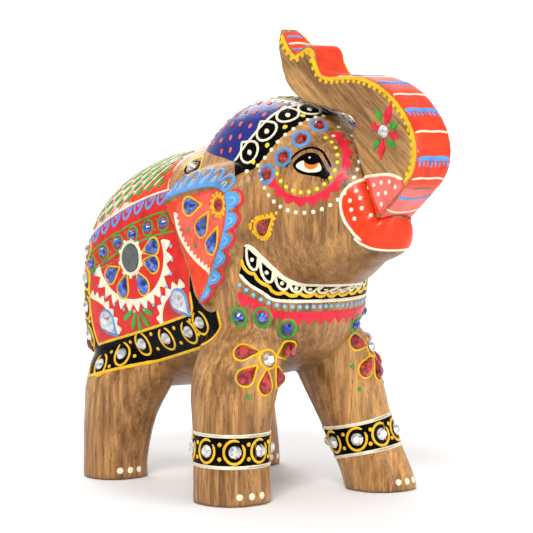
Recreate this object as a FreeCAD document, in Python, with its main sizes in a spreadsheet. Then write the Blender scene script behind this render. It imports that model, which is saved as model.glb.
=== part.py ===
import FreeCAD, Part
import math
import os

from FreeCAD import Placement, Rotation, Vector

# A carved wooden elephant with a raised trunk. Millimetres. The face looks along -Y, the elephant's own left
# is +X, up is +Z, and the origin lies under the middle of the figure on the plane of the soles.

os.makedirs("parts", exist_ok=True)
doc = FreeCAD.newDocument("elephant")

# ------------------------------------------------------------------ sizes
SIZES = {
    "torso_breadth": 78.0,       # across the flanks
    "head_breadth": 64.0,        # across the temples
    "ear_root": 22.0,            # midline to the plane an ear starts from, inside the neck
    "ear_fold": 33.0,            # midline to the crease where the ear's border starts to slope out
    "ear_reach": 41.5,           # midline to the outer face of an ear
    "ear_recess": 1.5,           # depth of the sunk field of an ear
    "trunk_breadth": 19.0,       # thickness of the flat piece the trunk is sawn from
    "dowel_radius": 3.0,
    "dowel_length": 24.0,        # half in each piece
    "mirror_radius": 5.9,
    "mirror_depth": 1.6,
    "mirror_proud": 0.7,         # how far a mirror stands out of the flank
    "small_round": 2.2,          # radius of the blue stones in the blanket's row
    "round_stone": 2.4,          # radius of the other coloured round stones
    "crystal": 2.7,              # radius of the clear round stones
    "round_height": 1.8,
    "pear_length": 10.2,
    "pear_width": 7.0,
    "pear_height": 2.1,
    "ruby_length": 9.5,
    "ruby_width": 6.1,
    "ruby_height": 2.0,
    "large_pear_length": 12.0,
    "large_pear_width": 9.4,
    "large_pear_height": 2.6,
    "glue": 0.02,                # film of glue under every stone
}
sheet = doc.addObject("Spreadsheet::Sheet", "sizes")
for row, (name, value) in enumerate(SIZES.items(), start=1):
    sheet.set(f"A{row}", name)
    sheet.set(f"B{row}", str(value))
    sheet.setAlias(f"B{row}", name)
doc.recompute()


def size(name):
    return float(sheet.get(name))


# ------------------------------------------------------------------ rings and lofts
RING_POINTS = 20
ACROSS = Vector(1, 0, 0)
ALONG = Vector(0, 1, 0)
UPWARD = Vector(0, 0, 1)


def ring(centre, right, up, half_right, half_up, power):
    """Closed curve |a|^power + |b|^power = 1 about a centre, spanned by two unit directions."""
    points = []
    for k in range(RING_POINTS):
        turn = 2.0 * math.pi * k / RING_POINTS
        c = math.cos(turn)
        s = math.sin(turn)
        a = math.copysign(abs(c) ** (2.0 / power), c) * half_right
        b = math.copysign(abs(s) ** (2.0 / power), s) * half_up
        points.append(centre + right * a + up * b)
    curve = Part.BSplineCurve()
    curve.interpolate(Points=points, PeriodicFlag=True)
    return Part.Wire(curve.toShape())


def upright_ring(station, half_breadth, bottom, top, power=2.2):
    """Ring across the body at one station along it."""
    centre = Vector(0, station, (bottom + top) / 2)
    return ring(centre, ACROSS, UPWARD, half_breadth, (top - bottom) / 2, power)


def level_ring(x, y, z, half_x, half_y, power=2.2):
    """Ring across a leg at one height."""
    return ring(Vector(x, y, z), ACROSS, ALONG, half_x, half_y, power)


def closed_curve(points):
    curve = Part.BSplineCurve()
    curve.interpolate(Points=points, PeriodicFlag=True)
    return Part.Wire(curve.toShape())


def hold(name, shape):
    """A curve or outline kept in the document for a loft or an extrusion to use."""
    holder = doc.addObject("Part::Feature", name)
    holder.Shape = shape
    return holder


def loft(name, wires):
    """A solid through the rings, straight from each to the next."""
    solid = doc.addObject("Part::Loft", name)
    solid.Sections = [hold(f"{name}_section_{k}", wire) for k, wire in enumerate(wires, start=1)]
    solid.Solid = True
    solid.Ruled = True
    return solid


FILL_STEPS = 3               # straight runs that stand for the smooth stretch between two rows of a table


def eased(rows, key):
    """The rows of a table with more between them, on smooth curves over the key column."""
    slopes = []
    for k in range(len(rows)):
        before = rows[max(k - 1, 0)]
        after = rows[min(k + 1, len(rows) - 1)]
        run = after[key] - before[key]
        slopes.append([(b - a) / run for a, b in zip(before, after)])
    filled = []
    for k in range(len(rows) - 1):
        span = rows[k + 1][key] - rows[k][key]
        for j in range(FILL_STEPS):
            t = j / FILL_STEPS
            start_share = 2 * t ** 3 - 3 * t ** 2 + 1
            start_slope = (t ** 3 - 2 * t ** 2 + t) * span
            end_share = 3 * t ** 2 - 2 * t ** 3
            end_slope = (t ** 3 - t ** 2) * span
            row = []
            for a, b, slope_a, slope_b in zip(rows[k], rows[k + 1], slopes[k], slopes[k + 1]):
                row.append(a * start_share + slope_a * start_slope + b * end_share + slope_b * end_slope)
            filled.append(tuple(row))
    return filled + [rows[-1]]


# ------------------------------------------------------------------ torso, head, lip, tail, legs
# Torso: station along Y, share of the half breadth, underside, back, squareness of the ring.
TORSO = (
    (-39.0, 0.22, 78.0, 96.0, 2.0),
    (-36.5, 0.46, 69.0, 108.0, 2.0),
    (-30.5, 0.72, 60.0, 122.0, 2.2),
    (-16.5, 0.90, 53.0, 137.0, 2.4),
    (3.5, 0.97, 48.0, 145.0, 2.5),
    (25.5, 1.00, 45.0, 147.0, 2.6),
    (45.5, 1.00, 41.5, 144.5, 2.8),
    (61.5, 1.00, 39.0, 139.5, 3.0),
    (75.0, 0.99, 39.0, 132.5, 3.0),
    (86.0, 0.93, 42.5, 123.0, 2.9),
    (93.0, 0.79, 50.0, 113.5, 2.6),
    (97.0, 0.54, 60.0, 103.0, 2.2),
    (98.5, 0.24, 70.0, 92.0, 2.0),
)
HEAD = (
    (-74.5, 0.27, 107.0, 120.0, 2.0),
    (-70.5, 0.36, 102.5, 130.0, 2.1),
    (-64.5, 0.45, 98.0, 141.0, 2.2),
    (-56.5, 0.66, 94.0, 149.0, 2.3),
    (-46.5, 0.84, 89.0, 155.0, 2.3),
    (-34.5, 0.95, 86.0, 162.0, 2.3),
    (-18.5, 1.00, 84.0, 167.0, 2.3),
    (-4.5, 1.00, 84.0, 167.5, 2.3),
    (7.5, 0.96, 88.0, 163.0, 2.2),
    (17.5, 0.85, 96.0, 156.0, 2.1),
    (26.5, 0.66, 104.0, 148.0, 2.0),
    (33.5, 0.36, 114.0, 140.0, 2.0),
)
# Lower lip: station, half breadth, bottom, top.
LIP = (
    (-54.5, 14.5, 97.5, 118.5),
    (-62.5, 14.5, 99.0, 118.8),
    (-69.5, 13.4, 101.0, 119.2),
    (-74.5, 11.8, 103.0, 119.8),
    (-77.8, 9.2, 105.2, 120.2),
    (-79.6, 5.4, 108.2, 119.8),
)
LIP_SQUARENESS = 2.5
# Tail, lying in relief on the rump: y, z, radius.
TAIL = (
    (84.0, 118.0, 3.0),
    (94.5, 105.0, 3.4),
    (96.8, 88.0, 3.4),
    (96.2, 72.0, 3.2),
    (93.5, 58.0, 3.6),
    (90.5, 49.0, 4.2),
    (87.5, 43.0, 2.2),
)
# Legs from the sole upward: x, y, z, half width across, half width along.
LEGS = {
    "foreleg_right": (
        (-35.0, -16.5, 0.0, 15.8, 15.8),
        (-35.0, -16.5, 8.0, 15.6, 15.6),
        (-34.5, -15.5, 28.0, 15.2, 16.0),
        (-31.0, -13.5, 48.0, 16.5, 19.5),
        (-23.0, -11.5, 66.0, 15.5, 20.0),
        (-12.0, -9.5, 84.0, 10.0, 14.0),
    ),
    "foreleg_left": (
        (37.0, -30.0, 0.0, 15.2, 15.2),
        (35.6, -28.0, 8.0, 15.0, 15.2),
        (30.5, -21.5, 28.0, 15.0, 15.6),
        (26.0, -15.5, 48.0, 16.5, 18.5),
        (20.0, -12.0, 66.0, 15.5, 19.5),
        (12.0, -9.5, 84.0, 10.0, 14.0),
    ),
    "hindleg_right": (
        (-31.0, 71.0, 0.0, 14.0, 14.0),
        (-31.0, 71.0, 8.0, 13.8, 14.0),
        (-29.5, 69.0, 28.0, 14.8, 17.5),
        (-26.0, 65.0, 46.0, 16.0, 24.0),
        (-18.0, 62.5, 64.0, 14.5, 24.0),
        (-12.0, 61.5, 80.0, 10.0, 16.0),
    ),
    "hindleg_left": (
        (37.5, 60.5, 0.0, 14.0, 14.0),
        (37.3, 60.5, 8.0, 13.8, 14.0),
        (33.0, 62.0, 28.0, 14.8, 17.5),
        (26.5, 62.5, 46.0, 16.0, 24.0),
        (18.0, 62.5, 64.0, 14.5, 24.0),
        (12.0, 61.5, 80.0, 10.0, 16.0),
    ),
}
half_torso = size("torso_breadth") / 2
half_head = size("head_breadth") / 2
torso = loft("torso", [upright_ring(y, f * half_torso, low, top, p) for y, f, low, top, p in eased(TORSO, 0)])
head = loft("head", [upright_ring(y, f * half_head, low, top, p) for y, f, low, top, p in eased(HEAD, 0)])
lip = loft("lower_lip", [upright_ring(*row, LIP_SQUARENESS) for row in eased(LIP, 0)])
tail = loft("tail", [level_ring(0.0, y, z, r, r, 2.0) for y, z, r in eased(TAIL, 1)])
legs = [loft(name, [level_ring(*row) for row in eased(rows, 2)]) for name, rows in LEGS.items()]

# ------------------------------------------------------------------ ears
# Side outlines, y and z: where an ear leaves the neck, its outer face, and the field sunk into that face.
EAR_ROOT = (
    (-27.0, 133.0),
    (-28.0, 124.0),
    (-25.0, 111.0),
    (-18.5, 98.0),
    (-12.0, 87.5),
    (-5.0, 79.5),
    (1.0, 82.0),
    (6.0, 93.0),
    (12.0, 105.0),
    (18.5, 116.0),
    (25.5, 127.5),
    (18.0, 134.5),
    (2.0, 138.5),
    (-16.0, 140.0),
)
EAR_FACE = (
    (-20.5, 128.0),
    (-22.0, 121.5),
    (-19.5, 109.5),
    (-14.0, 97.5),
    (-9.0, 88.5),
    (-3.5, 81.5),
    (0.5, 83.0),
    (5.5, 93.0),
    (11.5, 104.5),
    (17.5, 114.5),
    (22.5, 123.0),
    (16.0, 126.5),
    (2.0, 129.5),
    (-13.0, 131.5),
)
EAR_FIELD = ((-12.0, 130.2), (-18.8, 128.6), (-20.0, 117.0), (-2.5, 83.0), (2.0, 80.0), (30.0, 121.8),
             (21.0, 123.0), (14.0, 125.8), (2.0, 128.4))


def ear(name, side):
    planes = (("ear_root", EAR_ROOT), ("ear_fold", EAR_ROOT), ("ear_reach", EAR_FACE))
    wires = []
    for plane, outline in planes:
        wires.append(closed_curve([Vector(side * size(plane), y, z) for y, z in outline]))
    flap = loft(f"{name}_flap", wires)
    corners = [Vector(0, y, z) for y, z in EAR_FIELD]
    field = doc.addObject("Part::Extrusion", f"{name}_field")
    field.Base = hold(f"{name}_field_outline", Part.makePolygon(corners + corners[:1]))
    field.Solid = True
    field.DirMode = "Custom"
    field.Dir = Vector(side, 0, 0)
    field.LengthFwd = 10.0
    field.setExpression("Placement.Base.x", f"{side} * (sizes.ear_reach - sizes.ear_recess)")
    return flap, field


ear_parts = [ear("ear_right", -1), ear("ear_left", 1)]

# ------------------------------------------------------------------ trunk
# Side outline, y and z, as runs of smooth curve that meet at corners: underside and rear up to the fingertip,
# the mouth of the trunk, its front down to the lower corner, the sloping lower end and the joint with the face.
TRUNK_RUNS = (
    ((-61.5, 152.0), (-63.0, 157.0), (-54.1, 161.0), (-41.9, 163.4), (-32.5, 165.5), (-26.2, 168.8),
     (-19.3, 175.6), (-15.0, 185.0), (-11.0, 197.4)),
    ((-11.0, 197.4), (-14.5, 193.6), (-20.0, 188.0), (-24.9, 185.5), (-29.0, 187.5), (-34.0, 188.6)),
    ((-34.0, 188.6), (-37.0, 185.6), (-38.3, 180.5), (-42.5, 176.4), (-50.5, 175.2), (-63.5, 175.4),
     (-74.5, 172.8), (-83.5, 168.6), (-91.5, 161.6), (-97.1, 154.0), (-99.3, 145.0), (-97.5, 137.0),
     (-92.5, 131.0)),
    ((-92.5, 131.0), (-76.5, 118.0)),
    ((-76.5, 118.0), (-61.5, 152.0)),
)
JOINT_LOW = Vector(0, -76.5, 118.0)
JOINT_HIGH = Vector(0, -61.5, 152.0)
# Seen from the front the trunk narrows toward its fingertip: height, half width.
NARROWING = ((110.0, 9.5), (173.0, 9.5), (181.0, 8.4), (188.0, 7.9), (192.5, 6.6), (196.0, 4.6), (200.0, 2.0))


def trunk():
    body = doc.addObject("PartDesign::Body", "trunk_board")
    sketch = body.newObject("Sketcher::SketchObject", "trunk_outline")
    sketch.AttachmentSupport = [(body.Origin.OriginFeatures[5], "")]
    sketch.MapMode = "FlatFace"
    for run in TRUNK_RUNS:
        points = [Vector(y, z, 0) for y, z in run]
        if len(points) == 2:
            sketch.addGeometry(Part.LineSegment(points[0], points[1]))
        else:
            curve = Part.BSplineCurve()
            curve.interpolate(Points=points)
            sketch.addGeometry(curve)
    pad = body.newObject("PartDesign::Pad", "trunk_thickness")
    pad.Profile = sketch
    pad.SideType = "Symmetric"
    pad.setExpression("Length", "sizes.trunk_breadth")
    corners = [Vector(half, 0, z) for z, half in NARROWING]
    corners += [Vector(-half, 0, z) for z, half in reversed(NARROWING)]
    front = doc.addObject("Part::Extrusion", "trunk_front_outline")
    front.Base = hold("trunk_front_polygon", Part.makePolygon(corners + corners[:1]))
    front.Solid = True
    front.DirMode = "Custom"
    front.Dir = Vector(0, -1, 0)
    front.LengthFwd = 110.0
    narrowed = doc.addObject("Part::MultiCommon", "trunk_narrowed")
    narrowed.Shapes = [body, front]
    return narrowed


# ------------------------------------------------------------------ dowel and mirrors
MIRROR_AT = (48.0, 98.5)     # y, z


def dowel_pin():
    pin = doc.addObject("Part::Cylinder", "trunk_dowel")
    pin.setExpression("Radius", "sizes.dowel_radius")
    pin.setExpression("Height", "sizes.dowel_length")
    joint = (JOINT_HIGH - JOINT_LOW).normalize()
    outward = ACROSS.cross(joint) * -1
    if outward.y > 0:
        outward = outward * -1
    middle = (JOINT_HIGH + JOINT_LOW) * 0.5
    start = middle - outward * (size("dowel_length") / 2)
    pin.Placement = Placement(start, Rotation(UPWARD, outward))
    return pin


def mirror(name, side):
    glass = doc.addObject("Part::Cylinder", name)
    glass.setExpression("Radius", "sizes.mirror_radius")
    glass.setExpression("Height", "sizes.mirror_depth")
    glass.Placement = Placement(Vector(0, *MIRROR_AT), Rotation(UPWARD, Vector(side, 0, 0)))
    depth = "sizes.torso_breadth / 2 + sizes.mirror_proud - sizes.mirror_depth"
    glass.setExpression("Placement.Base.x", f"{side} * ({depth})")
    return glass


# ------------------------------------------------------------------ the carved block
narrowed_trunk = trunk()
pin = dowel_pin()
mirrors = [mirror("mirror_right", -1), mirror("mirror_left", 1)]
block = doc.addObject("Part::MultiFuse", "block")
block.Shapes = [torso, head, lip, tail, *legs, *[flap for flap, field in ear_parts]]

face_side = [JOINT_LOW, JOINT_HIGH, Vector(0, -61.5, 180), Vector(0, -110, 180), Vector(0, -108.5, 144)]
face_cut = doc.addObject("Part::Extrusion", "face_cut")
face_cut.Base = hold("face_cut_outline", Part.makePolygon(face_side + face_side[:1]))
face_cut.Solid = True
face_cut.DirMode = "Custom"
face_cut.Dir = ACROSS
face_cut.LengthFwd = 80.0
face_cut.Placement.Base = Vector(-40, 0, 0)
removed = doc.addObject("Part::MultiFuse", "wood_removed")
removed.Shapes = [face_cut, narrowed_trunk, pin, *mirrors, *[field for flap, field in ear_parts]]
carved = doc.addObject("Part::Cut", "carved_body")
carved.Base = block
carved.Tool = removed
bored = doc.addObject("Part::Cut", "carved_trunk")
bored.Base = narrowed_trunk
bored.Tool = pin
doc.recompute()

for obj in doc.Objects:
    if "Invalid" in obj.State or "Error" in obj.State:
        raise RuntimeError(f"{obj.Name} did not build")
body_wood = carved.Shape
trunk_wood = bored.Shape


# ------------------------------------------------------------------ stones
def faceted(girdle, height, table_share):
    """Flat-backed stone: an upright rim, a ring of triangular facets and a flat table on top."""
    count = len(girdle)
    rim = 0.22 * height
    back = [Vector(x, y, 0) for x, y in girdle]
    edge = [Vector(x, y, rim) for x, y in girdle]
    table = []
    for k in range(count):
        x = (girdle[k][0] + girdle[(k + 1) % count][0]) / 2 * table_share
        y = (girdle[k][1] + girdle[(k + 1) % count][1]) / 2 * table_share
        table.append(Vector(x, y, height))
    faces = [back, table]
    for k in range(count):
        after = (k + 1) % count
        faces.append([back[k], back[after], edge[after], edge[k]])
        faces.append([edge[k], edge[after], table[k]])
        faces.append([table[k], edge[after], table[after]])
    shell = Part.Shell([Part.Face(Part.makePolygon(loop + loop[:1])) for loop in faces])
    stone = Part.Solid(shell)
    if stone.Volume < 0:
        stone.reverse()
    return stone


def round_stone(radius):
    girdle = []
    for k in range(10):
        turn = 2 * math.pi * k / 10
        girdle.append((radius * math.cos(turn), radius * math.sin(turn)))
    return faceted(girdle, size("round_height"), 0.55)


def pear_stone(length, width, height):
    """Drop-shaped stone whose point lies along +X."""
    radius = width / 2
    bulb = -length / 2 + radius
    point = length / 2
    lean = math.acos(radius / (point - bulb))
    girdle = [(point, 0.0)]
    for k in range(9):
        turn = lean + (2 * math.pi - 2 * lean) * k / 8
        girdle.append((bulb + radius * math.cos(turn), radius * math.sin(turn)))
    return faceted(girdle, height, 0.55)


STONES = {
    "small_round": round_stone(size("small_round")),
    "round": round_stone(size("round_stone")),
    "crystal": round_stone(size("crystal")),
    "pear": pear_stone(size("pear_length"), size("pear_width"), size("pear_height")),
    "ruby": pear_stone(size("ruby_length"), size("ruby_width"), size("ruby_height")),
    "large_pear": pear_stone(size("large_pear_length"), size("large_pear_width"), size("large_pear_height")),
}


def seat(wood, start, aim):
    """Where a straight line from start toward aim first meets the wood, and the outward direction there."""
    crossings = wood.section(Part.makeLine(start, aim))
    meets = min((vertex.Point for vertex in crossings.Vertexes), key=lambda p: p.distanceToPoint(start))
    above = meets + (start - aim).normalize() * 1.0
    nearest = wood.distToShape(Part.Vertex(above))[1][0][0]
    return nearest, (above - nearest).normalize()


TRIES = 10
LIFT_STEP = 0.25             # millimetres more glue at each try


def lay(kind, wood, start, aim, toward=None):
    """A stone of one kind lying flat on the wood, its point turned toward a direction.

    In a crease it is lifted a little and leaned toward where it came from until it clears the wood.
    """
    nearest, normal = seat(wood, start, aim)
    arrival = (start - aim).normalize()
    toward = toward or UPWARD
    stone = STONES[kind].copy()
    for attempt in range(TRIES):
        share = attempt / TRIES
        outward = (normal * (1 - share) + arrival * share).normalize()
        along = (toward - outward * toward.dot(outward)).normalize()
        turn = Rotation(along, outward.cross(along), outward, "ZXY")
        stone.Placement = Placement(nearest + outward * (size("glue") + attempt * LIFT_STEP), turn)
        if stone.distToShape(wood)[0] > size("glue") / 2:
            return stone
    raise RuntimeError(f"no room for a {kind} at {nearest}")


def stones(name, solids):
    group = doc.addObject("Part::Feature", name)
    group.Shape = Part.makeCompound(solids)
    return group


def from_side(kind, side, y, z, toward=None, wood=None):
    start = Vector(side * 80, y, z)
    return lay(kind, wood or body_wood, start, Vector(0, y, z), toward)


def toward_side(y, z):
    return Vector(0, y, z)


# Flank and ear, for each side: y, z and the way the point of a pear looks, as y and z.
EAR_PEARS = ((4.0, 122.2, -1.0, 0.1), (-3.6, 114.4, -0.6, 0.8), (-10.4, 107.6, -0.45, 0.9))
EAR_ROUND = (-14.2, 123.0)
ROW_START = 79.0
ROW_STEP = 10.6
ROW_COUNT = 6
PETALS = ((161.0, 15.5), (187.0, 15.0), (232.0, 13.5), (292.0, 13.5), (331.0, 15.5))   # angle, distance
CLEAR_PEARS = ((65.6, 68.6, -0.7, -0.7), (14.4, 80.6, -0.7, -0.7))
BORDER = ((4.4, 72.8), (12.9, 68.2), (28.6, 64.2), (45.2, 60.8), (57.6, 56.2), (70.2, 50.8))
REAR_BORDER_HEIGHTS = (62.0, 75.0, 88.0, 101.0)
REAR_BORDER_Y = 85.0


def row_height(y):
    rise = y - 26.0
    return 114.5 - 0.20 * rise - 0.0032 * rise * rise


def flank_groups(side, word):
    petals = []
    for angle, distance in PETALS:
        turn = math.radians(angle)
        y = MIRROR_AT[0] + distance * math.cos(turn)
        z = MIRROR_AT[1] + distance * math.sin(turn)
        petals.append(from_side("pear", side, y, z, toward_side(MIRROR_AT[0] - y, MIRROR_AT[1] - z)))
    row_of_rounds = []
    for k in range(ROW_COUNT):
        y = ROW_START - ROW_STEP * k
        row_of_rounds.append(from_side("small_round", side, y, row_height(y)))
    border = [from_side("crystal", side, y, z) for y, z in BORDER]
    border += [from_side("crystal", side, REAR_BORDER_Y, z) for z in REAR_BORDER_HEIGHTS]
    ear_pears = [from_side("pear", side, y, z, toward_side(dy, dz)) for y, z, dy, dz in EAR_PEARS]
    clear = [from_side("large_pear", side, y, z, toward_side(dy, dz)) for y, z, dy, dz in CLEAR_PEARS]
    return [
        stones(f"ear_pears_{word}", ear_pears),
        stones(f"ear_round_{word}", [from_side("round", side, *EAR_ROUND)]),
        stones(f"blanket_rounds_{word}", row_of_rounds),
        stones(f"blanket_petals_{word}", petals),
        stones(f"clear_pears_{word}", clear),
        stones(f"border_crystals_{word}", border),
    ]


# Head and chest, for each side: x, y, z close to the surface. Each is met from outside the middle of the head.
BROW = ((29.5, -32.5, 135.5), (26.0, -38.5, 142.5), (19.5, -42.0, 150.0), (10.5, -43.0, 155.5))
CHEEK = (30.0, -31.4, 115.0)
HEAD_MIDDLE = Vector(0, -25, 125)
CHEST = ((33.0, -18.0, 76.5), (27.5, -27.0, 77.0), (19.0, -33.0, 72.0))
CHEST_MIDDLE = Vector(0, 5, 88)
TRUNK_CRYSTAL = (-80.5, 153.0)


def inward(kind, wood, side, place, middle, toward=None):
    """A stone met on the way from outside, through a place near the surface, to a point inside."""
    x, y, z = place
    near = Vector(side * x, y, z)
    start = near + (near - middle).normalize() * 30
    return lay(kind, wood, start, middle, toward)


def head_groups(side, word):
    brow = [inward("round", body_wood, side, place, HEAD_MIDDLE) for place in BROW]
    cheek = [inward("ruby", body_wood, side, CHEEK, HEAD_MIDDLE, Vector(0, -0.8, 0.6))]
    chest = [inward("round", body_wood, side, place, CHEST_MIDDLE) for place in CHEST]
    on_trunk = [from_side("crystal", side, *TRUNK_CRYSTAL, wood=trunk_wood)]
    return [
        stones(f"brow_rubies_{word}", brow),
        stones(f"cheek_ruby_{word}", cheek),
        stones(f"chest_rounds_{word}", chest),
        stones(f"trunk_crystal_{word}", on_trunk),
        stones(f"neck_crystal_{word}", [inward("crystal", body_wood, side, (27.0, 20.0, 138.0), CHEST_MIDDLE)]),
    ]


# Forelegs: middle of the flower on the front of the leg, x and z.
FLOWERS = {"right": (-28.0, 60.0), "left": (30.5, 61.5)}
# Petals of the flower: angle from the outer side, upward, and distance from the crystal.
FLOWER_PETALS = ((20.0, 9.8), (-33.0, 10.5), (-82.0, 9.5), (-127.0, 9.8), (164.0, 8.8))
LEG_INSIDES = {"right": (-25.5, -11.0), "left": (21.5, -12.0)}    # middle of the leg behind the flower
# Anklets: height of the band and the angles of its stones around the leg, from the front toward the outside.
ANKLET_HEIGHT = 22.5
ANKLET_ANGLES = (-50.0, -8.0, 34.0, 80.0, 125.0, 170.0, 215.0, 262.0)
LEG_MIDDLES = {"right": (-34.7, -15.8), "left": (31.8, -23.3)}
ANKLET_TILTS = {"right": (0.0, 0.0), "left": (0.13, -0.17)}      # rise of the band for each millimetre of x and y


def foreleg_groups(side, word):
    middle_x, middle_z = FLOWERS[word]
    inside_x, inside_y = LEG_INSIDES[word]

    def on_front(kind, x, z, toward=None):
        start = Vector(inside_x + (x - inside_x) * 3.4, inside_y - 60, z)
        return lay(kind, body_wood, start, Vector(inside_x, inside_y, z), toward)

    rubies = []
    for angle, reach in FLOWER_PETALS:
        turn = math.radians(angle)
        x = side * reach * math.cos(turn)
        z = reach * math.sin(turn)
        rubies.append(on_front("ruby", middle_x + x, middle_z + z, Vector(-x, 0, -z)))
    anklet = []
    x, y = LEG_MIDDLES[word]
    tilt_x, tilt_y = ANKLET_TILTS[word]
    for angle in ANKLET_ANGLES:
        turn = math.radians(angle)
        out = Vector(side * math.sin(turn), -math.cos(turn), 0)
        level = ANKLET_HEIGHT + 15 * (out.x * tilt_x + out.y * tilt_y)
        middle = Vector(x, y, level)
        anklet.append(lay("crystal", body_wood, middle + out * 30, middle))
    return [
        stones(f"foreleg_rubies_{word}", rubies),
        stones(f"foreleg_crystal_{word}", [on_front("crystal", middle_x, middle_z)]),
        stones(f"anklet_crystals_{word}", anklet),
    ]


def from_above(kind, x, y, wood=None):
    return lay(kind, wood or body_wood, Vector(x, y, 190), Vector(x, y, 100), ALONG)


SPINE_STATIONS = (34.0, 46.0, 58.0, 70.0)
RUMP_RUBY = (9.0, 78.0)      # x, z of the two beside the tail
CORNER_RUBY = (31.0, 88.0, 58.0)
CORNER_MIDDLE = Vector(0, 50, 58)


def middle_groups():
    spine = [from_above("crystal", 0, y) for y in SPINE_STATIONS]
    rump = []
    x, z = RUMP_RUBY
    for side in (-1, 1):
        start = Vector(side * x, 130, z)
        rump.append(lay("ruby", body_wood, start, Vector(side * x, 40, z), Vector(side * 0.5, 0, 0.9)))
        rump.append(inward("ruby", body_wood, side, CORNER_RUBY, CORNER_MIDDLE))
    return [
        stones("spine_crystals", spine),
        stones("crown_crystal", [from_above("crystal", 0, 9.5)]),
        stones("rump_rubies", rump),
    ]


groups = middle_groups()
for side, word in ((-1, "right"), (1, "left")):
    groups += flank_groups(side, word) + head_groups(side, word) + foreleg_groups(side, word)

# ------------------------------------------------------------------ check and export
nodes = [carved, bored, pin, *mirrors, *groups]
doc.recompute()
for obj in nodes:
    if "Invalid" in obj.State or "Error" in obj.State or obj.Shape.isNull() or not obj.Shape.isValid():
        raise RuntimeError(f"{obj.Label} is not sound")
    obj.Shape.exportStep(f"parts/{obj.Label}.step")
    print(obj.Label, len(obj.Shape.Solids), round(obj.Shape.Volume, 1))
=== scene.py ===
import math
import random

import bpy
import numpy as np
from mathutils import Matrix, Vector, noise
from mathutils.bvhtree import BVHTree
from mathutils.geometry import delaunay_2d_cdt


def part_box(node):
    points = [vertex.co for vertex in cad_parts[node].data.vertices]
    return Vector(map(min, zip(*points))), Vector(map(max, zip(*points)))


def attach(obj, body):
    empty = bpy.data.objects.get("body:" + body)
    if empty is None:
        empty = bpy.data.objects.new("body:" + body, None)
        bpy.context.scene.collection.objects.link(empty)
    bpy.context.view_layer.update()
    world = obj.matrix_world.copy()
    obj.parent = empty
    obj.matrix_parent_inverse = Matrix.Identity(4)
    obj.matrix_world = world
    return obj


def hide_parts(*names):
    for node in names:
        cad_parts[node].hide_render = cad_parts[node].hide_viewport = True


# Looks of the carved elephant: rounded wood, raised enamel ornament, glued stones. Ornament is laid out in
# millimetres on the wood's own surface, in the same axes as the frame.

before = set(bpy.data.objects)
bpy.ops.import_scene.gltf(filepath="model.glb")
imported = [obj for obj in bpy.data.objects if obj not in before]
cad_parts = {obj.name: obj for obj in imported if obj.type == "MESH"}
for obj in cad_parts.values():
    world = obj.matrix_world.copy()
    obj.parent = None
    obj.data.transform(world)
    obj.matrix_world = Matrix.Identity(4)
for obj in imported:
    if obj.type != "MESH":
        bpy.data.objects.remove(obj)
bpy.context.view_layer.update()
scene = bpy.context.scene
MM = 0.001
random.seed(7)


# ------------------------------------------------------------------ materials
def new_material(name):
    material = bpy.data.materials.new(name)
    material.use_nodes = True
    tree = material.node_tree
    shader = tree.nodes["Principled BSDF"]
    return material, tree, shader


def add(tree, kind, **values):
    node = tree.nodes.new(kind)
    for key, value in values.items():
        setattr(node, key, value)
    return node


def ramp(tree, factor, stops):
    node = add(tree, "ShaderNodeValToRGB")
    elements = node.color_ramp.elements
    while len(elements) < len(stops):
        elements.new(0.5)
    for element, (place, colour) in zip(elements, stops):
        element.position = place
        element.color = (*colour, 1.0)
    tree.links.new(factor, node.inputs["Fac"])
    return node.outputs["Color"]


def stretched(tree, turn, stretch):
    """Object coordinates turned by Euler angles, then drawn out along the turned axes."""
    place = add(tree, "ShaderNodeTexCoord")
    mapping = add(tree, "ShaderNodeMapping", vector_type="TEXTURE")
    mapping.inputs["Rotation"].default_value = turn
    mapping.inputs["Scale"].default_value = stretch
    tree.links.new(place.outputs["Object"], mapping.inputs["Vector"])
    return mapping.outputs["Vector"]


def noise_of(tree, vector, scale, detail=3.0, roughness=0.55, distortion=0.0):
    node = add(tree, "ShaderNodeTexNoise")
    node.inputs["Scale"].default_value = scale
    node.inputs["Detail"].default_value = detail
    node.inputs["Roughness"].default_value = roughness
    node.inputs["Distortion"].default_value = distortion
    tree.links.new(vector, node.inputs["Vector"])
    return node.outputs["Fac"]


def mixed(tree, factor, first, second):
    node = add(tree, "ShaderNodeMix", data_type="RGBA")
    for value, socket in ((factor, node.inputs[0]), (first, node.inputs[6]), (second, node.inputs[7])):
        if isinstance(value, bpy.types.NodeSocket):
            tree.links.new(value, socket)
        elif isinstance(value, tuple):
            socket.default_value = (*value, 1.0)
        else:
            socket.default_value = value
    return node.outputs[2]


def bumped(tree, shader, height, strength, distance):
    node = add(tree, "ShaderNodeBump")
    node.inputs["Strength"].default_value = strength
    node.inputs["Distance"].default_value = distance
    tree.links.new(height, node.inputs["Height"])
    tree.links.new(node.outputs["Normal"], shader.inputs["Normal"])


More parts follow.
